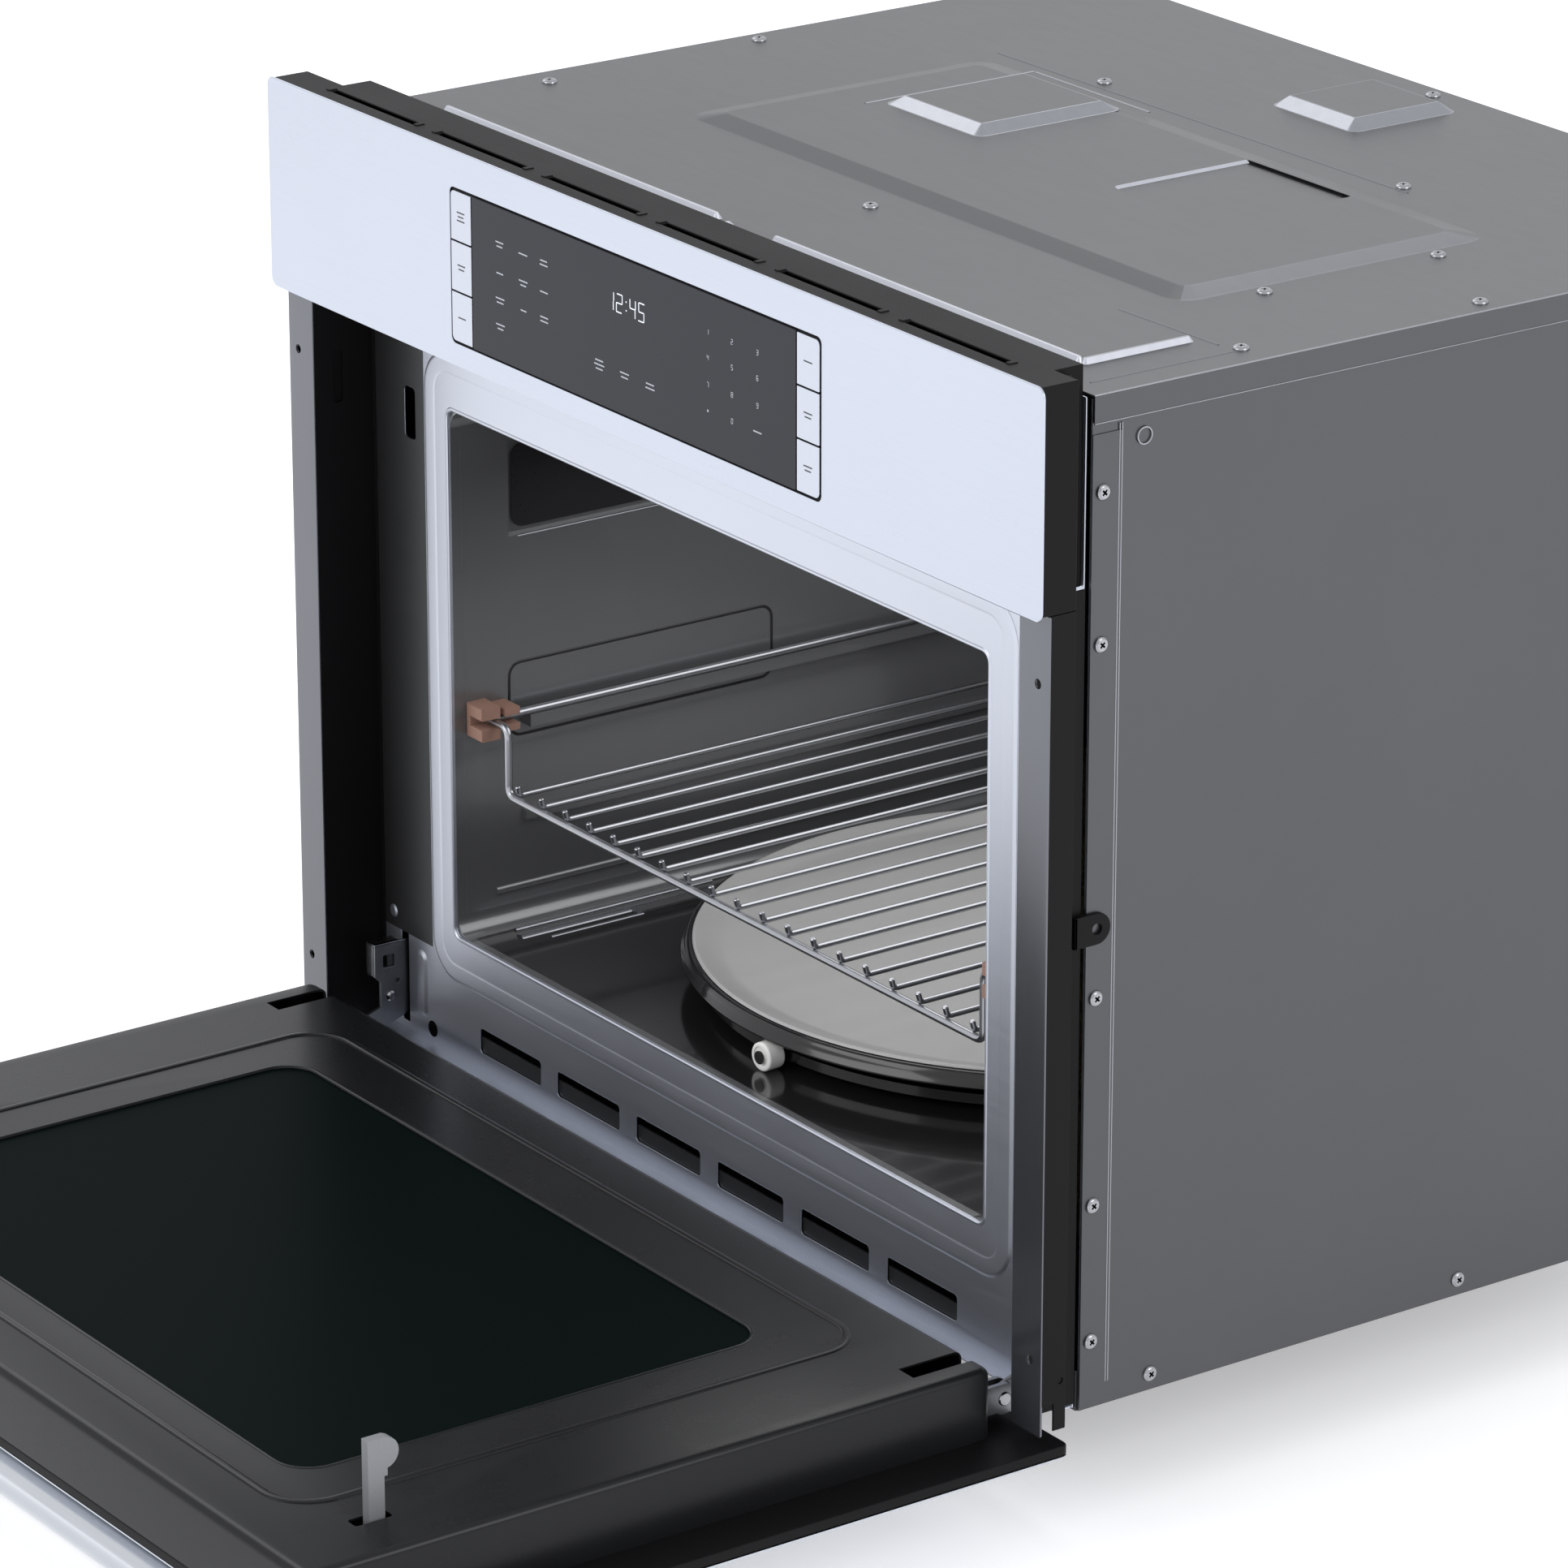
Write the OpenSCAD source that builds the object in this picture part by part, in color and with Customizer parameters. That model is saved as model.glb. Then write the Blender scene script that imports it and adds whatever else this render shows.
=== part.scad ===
// Built-in combination wall oven with a drop-down door, a sliding wire rack and a turntable.
// Origin: centre of the flat underside of the case. +X to the right as seen from the room,
// +Y into the wall, +Z up. The door is drawn fully open, lying level in front of the case.

/* [Front] */
// Width of the control fascia and of the door's outer panel
front_w = 756; // [752:1:760]
// Height of the control fascia
fascia_h = 128; // [126:1:130]
// Distance from the fascia's front down to the face frame, along Y
front_d = 52; // [52:1:54]

/* [Case] */
// Width of the case over its side panels
case_w = 700; // [698:1:702]
// Depth of the case behind the face frame
case_d = 536; // [534:1:560]
// Height of the case, underside to top cover
case_h = 580; // [578:1:600]
// Thickness of the case's sheet steel
sheet = 1.2; // [1:0.1:1.4]

/* [Oven cavity] */
// Width of the cavity between its side walls
cavity_w = 532; // [530:1:534]
// Height of the cavity
cavity_h = 332; // [330:1:336]
// Depth of the cavity
cavity_d = 476; // [470:1:478]
// Height of the cavity floor above the underside of the case
floor_z = 82; // [80:1:84]

/* [Door] */
// Height of the door hinge axis above the underside of the case
hinge_z = 9.3; // [9:0.1:9.6]
// Distance of the hinge axis behind the fascia's front face
hinge_back = 18.3; // [18:0.1:18.6]
// Diameter of the door handle's bar
handle_dia = 28; // [24:1:30]
// Length of the door handle's bar
handle_len = 640; // [560:10:680]

/* [Rack and turntable] */
// Height of the rack's deck wires
deck_z = 176; // [172:1:180]
// Radius of the ceramic tray
tray_r = 215; // [200:1:216]
// Radius at which the turntable's rollers run
roller_run_r = 219; // [212:1:220]

/* [Hidden] */
$fn = 48;

gap = 0.3;               // air between neighbouring pieces
half_case = case_w / 2;
face_y = -case_d / 2;                  // plane of the case's front edge
front_y = face_y - front_d;            // plane of the fascia and of the closed door
rear_y = case_d / 2;
fascia_top = case_h + 20;
fascia_bottom = fascia_top - fascia_h;

// Side trims: a folded strip on each side of the door opening
trim_front_y = front_y + 8.7;
trim_back_y = front_y + 25.8;
trim_in = half_case - 2.4;
trim_out = front_w / 2 - 4;
trim_bottom = 5;
trim_t = 1.5;

// Face frame around the cavity
frame_half = trim_in - gap;
latch_x = 308;
latch_z = 401;
hinge_x = 324;
hinge_slot_w = 14;
vent_w = 66;
vent_h = 16;
vent_pitch = 83.4;
vent_z = 22;

// Control panel
glass_w = 318;
glass_h = 90;
glass_z = fascia_top - 68;
key_w = 22;
key_count = 3;
top_vents = 6;
top_vent_w = 89;
top_vent_pitch = 113.3;

// Cavity
half_cavity = cavity_w / 2;
cavity_top = floor_z + cavity_h;
cavity_back = face_y + cavity_d;
blanket = 16;
deck_plate_z = cavity_top + sheet + blanket + 2;
pocket = [118, 60];
pocket_y = face_y + 40;
pocket_z = cavity_top - 87;
ledge_z = 215.9;
lamp_y = -60;
lamp_z = 345;
guide_x = 105;
guide_y = 40;

// Convection fan on the cavity's back wall
fan_z = 250;
fan_r = 82;

// Door, drawn open: its inner face is up
hinge_y = front_y + hinge_back;
door_in_z = 39;                     // inner face of the liner
liner_half = trim_in - 1.6;
liner_end_y = hinge_y - 20.3;       // liner's edge next to the hinge
door_free_y = hinge_y - (fascia_bottom - 4 - hinge_z);
panel_top_z = -2;
panel_t = 6;
panel_end_y = hinge_y + 8.7;
skin_t = 1.2;
window_w = 484;
window_near_y = -398;
window_far_y = -699;
ring_w = 560;
ring_near_y = -354;
ring_far_y = -727;
hook_y = hinge_y - (latch_z - hinge_z);
hook_pivot_z = 22;
handle_y = -722;
handle_z = panel_top_z - panel_t - skin_t - 32 - handle_dia / 2;
post_x = 284;

// Turntable
turn_y = -19;
roller_r = 9;
dish_z = floor_z + 2 * roller_r + 0.6;
roller_angles = [-86, 34, 154];

// Rack
rack_front_y = face_y + 19;
rack_back_y = cavity_back - 14;
rack_half = 237;
rail_x = 257;
rail_z = 218.7;
wire_r = 2.5;
thin_r = 1.6;
rack_wires = 19;

// Screws of the top cover, as [x, y], and of each side, as [y, z]
top_screws = [for (s = [-1, 1]) each [[s * 338, 5], [s * 330, -153], [s * 139, 116]],
              [-3, -154], [-3, 256], [256, 44], [256, -78]];
side_screws = [for (z = [40.5, 120.8, 241.4, 441.7, 526]) [face_y + 8, z],
               [face_y + 50, 10], [1.5, 10]];

// Supply opening of the rear panel, under the terminal cover
supply_x = -250;
supply_z = 380;

screw_head_r = 4.6;
screw_shank_r = 2;
screw_hole_r = 2.2;
cabinet_screw_r = 2.6;
cabinet_screw_z = [48, fascia_bottom - 38];
cabinet_screw_x = trim_out - 10;

// ---------------------------------------------------------------- shared shapes

// Flat rectangle with round corners, centred
module rounded(w, h, r) {
    square([w - 2 * r, h], center = true);
    square([w, h - 2 * r], center = true);
    for (x = [-1, 1], y = [-1, 1])
        translate([x * (w / 2 - r), y * (h / 2 - r)]) circle(r);
}

// Flat outline stood up in the XZ plane, from y to y + t
module upright(y, t) {
    translate([0, y + t, 0]) rotate([90, 0, 0]) linear_extrude(t) children();
}

// Flat outline (y, z) stood up in the YZ plane, from x to x + t
module sideways(x, t) {
    translate([x, 0, 0]) rotate([90, 0, 90]) linear_extrude(t) children();
}

// Flat outline laid level, from z to z + t
module level(z, t) {
    translate([0, 0, z]) linear_extrude(t) children();
}

// Box between two corners
module block(low, high) {
    translate(low) cube(high - low);
}

module rod_x(x0, x1, y, z, r) {
    translate([x0, y, z]) rotate([0, 90, 0]) cylinder(h = x1 - x0, r = r);
}

module rod_y(y0, y1, x, z, r) {
    translate([x, y0, z]) rotate([-90, 0, 0]) cylinder(h = y1 - y0, r = r);
}

module rod_z(z0, z1, x, y, r) {
    translate([x, y, z0]) cylinder(h = z1 - z0, r = r);
}

// Thin rounded frame outline between two rounded rectangles
module ring_outline(w, h, r, band) {
    difference() {
        rounded(w, h, r);
        rounded(w - 2 * band, h - 2 * band, r - band);
    }
}

// Cross-recess pan head screw pointing along -Z, head's seat at the origin
module screw() {
    difference() {
        cylinder(h = 2.4, r = screw_head_r);
        translate([0, 0, 2.2]) cube([5, 1, 2], center = true);
        translate([0, 0, 2.2]) cube([1, 5, 2], center = true);
    }
    translate([0, 0, -7]) cylinder(h = 7, r = screw_shank_r);
}

// ---------------------------------------------------------------- case

module base_pan() {
    half = half_case - sheet - gap;
    color("gray") difference() {
        block([-half, face_y + gap, 0], [half, rear_y - sheet - gap, 24]);
        block([-half + sheet, face_y + gap + sheet, sheet],
              [half - sheet, rear_y - 2 * sheet - gap, 25]);
        for (s = [-1, 1]) {
            block([s * hinge_x - 10, face_y - 1, 6], [s * hinge_x + 10, face_y + 3, 25]);
            for (p = side_screws)
                if (p[1] < 24) rod_x(s * half - 2, s * half + 2, p[0], p[1], screw_hole_r);
        }
        for (i = [-2 : 2]) translate([i * 60, 180, -1]) cube([34, 5, 4], center = true);
    }
}

module side_panel() {
    difference() {
        union() {
            sideways(half_case - sheet, sheet) translate([0, case_h / 2 - 1])
                square([case_d - 2 * sheet, case_h - 2 - 2 * gap], center = true);
            // stiffening flange pressed out along the front edge
            block([half_case, face_y + sheet, 2], [half_case + 0.7, face_y + 21, case_h - 22]);
            // turned-in flange along the top
            block([half_case - 14, face_y + 4, case_h - 3],
                  [half_case - sheet / 2, rear_y - 4, case_h - 2.2]);
        }
        for (p = side_screws) rod_x(half_case - 4, half_case + 4, p[0], p[1], screw_hole_r);
        for (p = top_screws)
            if (p[0] > 320) rod_z(case_h - 5, case_h, p[0], p[1], screw_hole_r);
    }
}

module side_panel_right() {
    color("dimgray") side_panel();
}

module side_panel_left() {
    color("dimgray") mirror([1, 0, 0]) side_panel();
}

module top_cover() {
    lap_x = half_case + 0.8;
    sunken_box = [98, 25, 0];
    color("dimgray") difference() {
        union() {
            block([-lap_x - 1, face_y + sheet, case_h - sheet], [lap_x + 1, rear_y, case_h]);
            for (s = [-1, 1]) translate([s * (lap_x + 0.5), sheet / 2, case_h - 8])
                cube([1, case_d - sheet, 16], center = true);
            // broad raised field with a raised box, the underside of a sunken one, and a box behind
            translate([12, -20, 0]) level(case_h, 2.4) rounded(470, 220, 12);
            translate([-122, 28, 0]) level(case_h, 8) rounded(94, 106, 5);
            translate(sunken_box) level(case_h - 3.4, 3.4) rounded(96.4, 102.4, 6.2);
            translate([-5, 205, 0]) level(case_h, 6) rounded(78, 80, 5);
            // raised front lip, broken in the middle
            for (x = [-172, 162]) translate([x, face_y + 30, 0]) level(case_h, 3.4) rounded(282, 5, 2.4);
            translate([303, face_y + 66, 0]) level(case_h, 3) rounded(5, 74, 2.4);
        }
        translate(sunken_box) level(case_h - 2.2, 6) rounded(94, 100, 5);
        for (p = top_screws) rod_z(case_h - 20, case_h + 10, p[0], p[1], screw_hole_r);
        // knock-out rings in the side laps
        for (s = [-1, 1]) translate([s * (lap_x + 1), face_y + 44, case_h - 8]) rotate([0, 90, 0])
            difference() {
                cylinder(h = 0.6, r = 5, center = true);
                cylinder(h = 1, r = 4.2, center = true);
            }
    }
}

module rear_panel() {
    color("dimgray") difference() {
        upright(rear_y - sheet, sheet) translate([0, case_h / 2 - 0.8])
            square([case_w, case_h - 1.6], center = true);
        // air outlet louvres
        for (side = [-1, 1], i = [0 : 7])
            block([side * 190 - 60, rear_y - 5, 460 + i * 11],
                  [side * 190 + 60, rear_y + 5, 465 + i * 11]);
        // supply opening under the terminal cover
        rod_y(rear_y - 5, rear_y + 5, supply_x, supply_z, 11.1);
    }
}

module terminal_cover() {
    color("silver") difference() {
        block([supply_x - 40, rear_y - 46, supply_z - 34],
              [supply_x + 40, rear_y - sheet - gap, supply_z + 34]);
        block([supply_x - 38.8, rear_y - 44.8, supply_z - 32.8],
              [supply_x + 38.8, rear_y, supply_z + 32.8]);
        block([supply_x - 50, rear_y - 40, supply_z - 20], [supply_x - 30, rear_y - 20, supply_z + 20]);
    }
}

module face_frame() {
    color("silver") difference() {
        union() {
            upright(face_y - sheet, sheet) translate([0, case_h / 2])
                square([2 * frame_half, case_h - 3], center = true);
            // beads pressed round the opening and along the foot
            upright(face_y - sheet - 1.2, 1.2) translate([0, floor_z + cavity_h / 2])
                ring_outline(cavity_w + 24, cavity_h + 24, 18, 4);
            block([-274, face_y - sheet - 1.2, floor_z - 30], [274, face_y - sheet, floor_z - 27]);
            block([-322, face_y - sheet - 1.6, 3], [160, face_y - sheet, 5.2]);
        }
        upright(face_y - 3, 6) translate([0, floor_z + cavity_h / 2]) rounded(cavity_w, cavity_h, 4);
        for (i = [0 : 5]) translate([(i - 2.5) * vent_pitch, 0, 0])
            upright(face_y - 3, 6) translate([0, vent_z]) rounded(vent_w, vent_h, 4);
        for (s = [-1, 1]) {
            // slot for the latch hook
            upright(face_y - 3, 6) translate([s * latch_x, latch_z]) rounded(12, 32, 3);
            // slot for the hinge arm
            block([s * hinge_x - 4, face_y - 3, 8], [s * hinge_x + 4, face_y + 3, 68]);
        }
    }
}

// Cross-section of the right trim in (x, y)
module trim_outline() {
    translate([trim_in, trim_front_y]) square([trim_out - trim_in, trim_t]);
    translate([trim_out - trim_t, trim_front_y]) square([trim_t, trim_back_y - trim_front_y]);
    translate([trim_in, trim_front_y]) square([trim_t, face_y - sheet - trim_front_y + 1]);
}

module side_trim() {
    difference() {
        union() {
            level(trim_bottom, fascia_bottom + 1.6 - trim_bottom) trim_outline();
            // eyelet that laps the side panel
            translate([half_case + 0.9, face_y + 7, 282]) rotate([0, 90, 0]) cylinder(h = 2, r = 9);
            block([half_case + 0.9, face_y - 8, 273], [half_case + 2.9, face_y + 7, 291]);
            block([trim_in + 0.2, face_y - 8, 273], [half_case + 2.9, face_y - 6, 291]);
        }
        for (z = cabinet_screw_z)
            rod_y(trim_front_y - 5, trim_front_y + 5, cabinet_screw_x, z, cabinet_screw_r);
        // slots for a fixing clip in the outer return, and in the web
        rod_x(trim_out - 4, trim_out + 4, trim_back_y - 4, 36, 2);
        block([trim_in - 1, trim_front_y + 14, 402], [trim_in + 3, trim_front_y + 21, 434]);
        rod_x(half_case, half_case + 5, face_y + 7, 282, 3.2);
    }
}

module side_trim_right() {
    color("black") side_trim();
}

module side_trim_left() {
    color("black") mirror([1, 0, 0]) side_trim();
}

module case_screws() {
    color("silver") {
        for (p = top_screws) translate([p[0], p[1], case_h]) screw();
        for (s = [0, 1], p = side_screws) mirror([s, 0, 0])
            translate([half_case + (p[0] < face_y + 21 ? 0.7 : 0), p[0], p[1]])
                rotate([0, 90, 0]) screw();
    }
}

// ---------------------------------------------------------------- control panel

module control_fascia() {
    color("lightsteelblue") difference() {
        upright(front_y, sheet) translate([0, fascia_top - fascia_h / 2]) rounded(front_w, fascia_h, 6);
        upright(front_y - 3, 8) translate([0, glass_z])
            square([glass_w + 2 * key_w + 2, glass_h + 1], center = true);
    }
}

module display_glass() {
    color("black") block([-glass_w / 2 + gap, front_y - 0.3, glass_z - glass_h / 2],
                         [glass_w / 2 - gap, front_y + 2.4, glass_z + glass_h / 2]);
}

module touch_keys() {
    key_h = glass_h / key_count;
    for (i = [0 : key_count - 1])
        translate([(glass_w + key_w) / 2, 0, glass_z + (i - 1) * key_h])
            upright(front_y - 0.3, 2.4) rounded(key_w - 0.8, key_h - 0.8, i == 1 ? 0.5 : 3);
}

module touch_keys_right() {
    color("whitesmoke") touch_keys();
}

module touch_keys_left() {
    color("whitesmoke") mirror([1, 0, 0]) touch_keys();
}

module panel_housing() {
    front = front_y + sheet + 0.1;
    wall = 1.6;
    color("black") difference() {
        union() {
            block([-trim_out, front, fascia_bottom + 2], [trim_out, trim_back_y, fascia_top - 0.8]);
            block([-half_case + 5, trim_back_y - wall, fascia_bottom + 2],
                  [half_case - 5, face_y - sheet - 0.1, fascia_top - 4]);
        }
        block([-trim_out + wall, front - 1, fascia_bottom + 2 + wall],
              [trim_out - wall, trim_back_y - wall, fascia_top - 0.8 - wall]);
        block([-half_case + 5 + wall, front - 1, fascia_bottom + 2 + wall],
              [half_case - 5 - wall, face_y - sheet - 0.1 - wall, fascia_top - 4 - wall]);
        for (i = [0 : top_vents - 1])
            translate([(i - (top_vents - 1) / 2) * top_vent_pitch, front_y + 15, fascia_top - 2])
                cube([top_vent_w, 4.6, 8], center = true);
        // wiring opening into the case
        block([-60, face_y - 8, 500], [60, face_y + 2, 540]);
    }
}

module control_board() {
    board_y = front_y + 9;
    color("darkgreen") {
        block([-170, board_y, glass_z - 50], [170, board_y + 1.6, glass_z + 50]);
        block([-60, board_y - 4, glass_z - 12], [60, board_y, glass_z + 22]);
        for (x = [-130, -90, 90, 130]) block([x - 9, board_y + 1.6, glass_z - 14],
                                             [x + 9, board_y + 12, glass_z + 14]);
        for (x = [-40, 40]) rod_y(board_y + 1.6, board_y + 20, x, glass_z, 8);
    }
}

// ---------------------------------------------------------------- cavity

module cavity_liner() {
    outer = half_cavity + sheet;
    color("slategray") difference() {
        union() {
            block([-outer, face_y + 0.1, floor_z - sheet],
                  [outer, cavity_back + sheet, cavity_top + sheet]);
            // pockets pressed outwards, high on the side walls
            for (s = [-1, 1]) translate([s * outer, pocket_y + pocket[0] / 2, pocket_z + pocket[1] / 2])
                cube([8, pocket[0] + 2 * sheet, pocket[1] + 2 * sheet], center = true);
        }
        difference() {
            block([-half_cavity, face_y - 1, floor_z], [half_cavity, cavity_back, cavity_top]);
            // ledges that carry the rack, and a lower bead
            for (s = [-1, 1]) {
                translate([s * (half_cavity - 3), -10, ledge_z - 4]) cube([13, 420, 8], center = true);
                translate([s * (half_cavity - 1), -10, 150]) cube([6, 420, 6], center = true);
            }
            // low beads on the floor beside the turntable
            for (s = [-1, 1]) translate([s * 236, -60, floor_z]) cube([8, 200, 3], center = true);
        }
        for (s = [-1, 1]) translate([s * outer, pocket_y + pocket[0] / 2, pocket_z + pocket[1] / 2])
            cube([8 - 2 * sheet, pocket[0], pocket[1]], center = true);
        for (s = [-1, 1])
            translate([s * half_cavity, pocket_y + pocket[0] / 2, pocket_z + pocket[1] / 2])
            cube([3, pocket[0], pocket[1]], center = true);
        // shaft, lamp, waveguide and heater openings
        rod_z(floor_z - 5, floor_z + 5, 0, turn_y, 8);
        block([-half_cavity - 5, lamp_y - 24, lamp_z - 18],
              [-half_cavity + 5, lamp_y + 24, lamp_z + 18]);
        block([guide_x - 44, guide_y - 22, cavity_top - 5],
              [guide_x + 44, guide_y + 22, cavity_top + 5]);
        for (x = [-210, 210]) rod_y(cavity_back - 5, cavity_back + 5, x, cavity_top - 16, 4.2);
        // fan inlet holes in the middle of the back wall, outlet slots at its sides
        for (i = [-3 : 3], j = [-3 : 3])
            if (i * i + j * j < 12) rod_y(cavity_back - 5, cavity_back + 5, i * 14, fan_z + j * 14, 4);
        for (s = [-1, 1], j = [-4 : 4])
            block([s * 124 - 12, cavity_back - 5, fan_z + j * 20 - 3],
                  [s * 124 + 12, cavity_back + 5, fan_z + j * 20 + 3]);
    }
}

module insulation_blanket() {
    inner = half_cavity + sheet + 0.2;
    pad = 5;
    color("khaki") difference() {
        block([-inner - pad - blanket, face_y + 6, floor_z - sheet - 0.2 - blanket],
              [inner + pad + blanket, cavity_back - 2, cavity_top + sheet + 0.2 + blanket]);
        block([-inner - pad, face_y, floor_z - sheet - 0.2],
              [inner + pad, cavity_back + 2, cavity_top + sheet + 0.2]);
        rod_z(floor_z - 30, floor_z, 0, turn_y, 12);
        block([-inner - 40, lamp_y - 32, lamp_z - 26], [-inner, lamp_y + 32, lamp_z + 26]);
        block([guide_x - 50, guide_y - 28, cavity_top], [guide_x + 50, guide_y + 28, cavity_top + 30]);
    }
}

module component_deck() {
    half = half_case - sheet - 2;
    color("silver") difference() {
        block([-half, face_y + 6, deck_plate_z], [half, rear_y - sheet - 4, deck_plate_z + sheet]);
        block([guide_x - 50, guide_y - 28, deck_plate_z - 1],
              [guide_x + 50, guide_y + 28, deck_plate_z + 3]);
        // return-air slots near the front
        for (i = [-4 : 4]) translate([i * 70, -225, deck_plate_z]) cube([46, 10, 4], center = true);
    }
}

module grill_element() {
    z = cavity_top - 16;
    y_far = cavity_back + 12;
    y_near = face_y + 60;
    color("dimgray") {
        for (s = [-1, 1]) {
            rod_y(y_near, y_far, s * 210, z, 3.6);
            rod_y(y_near, cavity_back - 60, s * 70, z, 3.6);
            rod_x(s > 0 ? 70 : -210, s > 0 ? 210 : -70, y_near, z, 3.6);
            for (x = [70, 210]) translate([s * x, y_near, z]) sphere(3.6);
            translate([s * 70, cavity_back - 60, z]) sphere(3.6);
        }
        rod_x(-70, 70, cavity_back - 60, z, 3.6);
    }
}

module waveguide() {
    wall = 1;
    low = deck_plate_z + sheet + 2;
    high = low + 40;
    color("silver") difference() {
        union() {
            block([guide_x - 48, guide_y - 26, cavity_top + sheet + 0.1],
                  [guide_x + 48, guide_y + 26, low]);
            block([guide_x - 48, guide_y - 26, low], [guide_x + 150, guide_y + 26, high]);
        }
        block([guide_x - 48 + wall, guide_y - 26 + wall, cavity_top],
              [guide_x + 48 - wall, guide_y + 26 - wall, low + wall]);
        block([guide_x - 48 + wall, guide_y - 26 + wall, low + wall],
              [guide_x + 150 - wall, guide_y + 26 - wall, high - wall]);
        rod_z(high - 3, high + 3, guide_x + 110, guide_y, 12);
    }
}

module waveguide_cover() {
    color("tan") block([guide_x - 54, guide_y - 32, cavity_top - 1],
                       [guide_x + 54, guide_y + 32, cavity_top - 0.2]);
}

module magnetron() {
    foot = deck_plate_z + sheet + 42;
    x = guide_x + 110;
    color("silver") {
        difference() {
            block([x - 45, guide_y - 40, foot + 0.1], [x + 45, guide_y + 40, foot + 74]);
            for (i = [0 : 7]) block([x - 41, guide_y - 41, foot + 16 + i * 6],
                                    [x + 41, guide_y + 41, foot + 19 + i * 6]);
        }
        rod_z(foot - 28, foot + 0.2, x, guide_y, 8);
        rod_z(foot + 12, foot + 66, x, guide_y, 20);
    }
}

module high_voltage_transformer() {
    low = deck_plate_z + sheet + 0.1;
    translate([-210, -120, low]) {
        color("dimgray") difference() {
            translate([-55, -45, 0]) cube([110, 90, 92]);
            translate([-32, -50, 22]) cube([18, 100, 48]);
            translate([14, -50, 22]) cube([18, 100, 48]);
        }
        color("peru") for (x = [-31.5, 14.5]) translate([x, -62, 22.5]) cube([17, 124, 47]);
    }
}

module high_voltage_capacitor() {
    low = deck_plate_z + sheet + 0.1;
    color("silver") translate([-70, -150, low]) {
        linear_extrude(86) rounded(52, 32, 15);
        for (x = [-12, 12]) translate([x, 0, 86]) cylinder(h = 12, r = 4);
    }
}

// Radial cooling blower that stands on the deck
blower_y = 150;
blower_r = 50;
blower_x = -150;
blower_z = 505;

module blower_housing() {
    color("darkgray") difference() {
        union() {
            rod_x(blower_x - 30, blower_x + 30, blower_y, blower_z, blower_r + 10);
            block([blower_x - 30, blower_y, blower_z - blower_r - 10],
                  [blower_x + 30, rear_y - 14, blower_z - 8]);
        }
        rod_x(blower_x - 28, blower_x + 28, blower_y, blower_z, blower_r + 8);
        block([blower_x - 28, blower_y, blower_z - blower_r - 8],
              [blower_x + 28, rear_y - 10, blower_z - 10]);
        rod_x(blower_x - 40, blower_x + 40, blower_y, blower_z, 34);
    }
}

module blower_wheel() {
    color("white") difference() {
        union() {
            rod_x(blower_x - 1, blower_x + 1, blower_y, blower_z, blower_r);
            rod_x(blower_x - 24, blower_x + 8, blower_y, blower_z, 8);
            for (a = [0 : 18 : 359]) translate([0, blower_y, blower_z]) rotate([a, 0, 0])
                block([blower_x - 24, blower_r - 13, -1], [blower_x + 24, blower_r - 1, 1]);
        }
        rod_x(blower_x - 30, blower_x + 10, blower_y, blower_z, 4.05);
    }
}

module blower_motor() {
    color("dimgray") {
        block([blower_x - 72, blower_y - 32, blower_z - 32],
              [blower_x - 34, blower_y + 32, blower_z + 32]);
        rod_x(blower_x - 34, blower_x + 6, blower_y, blower_z, 4);
    }
}

module fan_compartment() {
    low_y = cavity_back + sheet + 0.1;
    color("silver") difference() {
        block([-150, low_y, fan_z - 112], [150, low_y + 25, fan_z + 112]);
        block([-148.8, low_y - 1, fan_z - 110.8], [148.8, low_y + 23.8, fan_z + 110.8]);
        rod_y(low_y, low_y + 30, 0, fan_z, 7);
    }
}

module ring_heater() {
    color("dimgray") translate([0, cavity_back + 13, fan_z]) rotate([90, 0, 0])
        rotate_extrude($fn = 96) translate([102, 0]) circle(3.5);
}

module convection_fan() {
    hub_y = cavity_back + 5;
    color("silver") difference() {
        union() {
            rod_y(hub_y, hub_y + 16, 0, fan_z, 11);
            rod_y(hub_y + 14, hub_y + 15.5, 0, fan_z, fan_r - 24);
            for (a = [0 : 45 : 359]) translate([0, 0, fan_z]) rotate([0, a, 0])
                block([24, hub_y + 1, -0.8], [fan_r, hub_y + 15.5, 0.8]);
        }
        rod_y(hub_y + 4, hub_y + 20, 0, fan_z, 3.05);
    }
}

module convection_motor() {
    low_y = cavity_back + sheet + 25.4;
    color("dimgray") {
        block([-40, low_y, fan_z - 34], [40, rear_y - sheet - 1, fan_z + 34]);
        rod_y(cavity_back + 10, low_y, 0, fan_z, 3);
    }
}

module lamp_holder() {
    x = -half_cavity - sheet - 0.1;
    color("ivory") {
        difference() {
            block([x - 34, lamp_y - 30, lamp_z - 24], [x - 7.1, lamp_y + 30, lamp_z + 24]);
            block([x - 32, lamp_y - 28, lamp_z - 22], [x - 6, lamp_y + 28, lamp_z + 22]);
        }
    }
    color("white") rod_x(x - 32, x - 12, lamp_y, lamp_z, 8);
}

module lamp_lens() {
    color("lightcyan") block([-half_cavity + 0.2, lamp_y - 27, lamp_z - 21],
                             [-half_cavity + 2.2, lamp_y + 27, lamp_z + 21]);
}

// ---------------------------------------------------------------- turntable

module turntable_motor() {
    top = floor_z - sheet - blanket - 2;
    color("silver") {
        rod_z(top - 20, top, 0, turn_y, 29);
        rod_z(top, floor_z + 6, 0, turn_y, 3.5);
        for (s = [-1, 1]) block([s * 34 - 8, turn_y - 6, top - 1.5], [s * 34 + 8, turn_y + 6, top]);
    }
}

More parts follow.
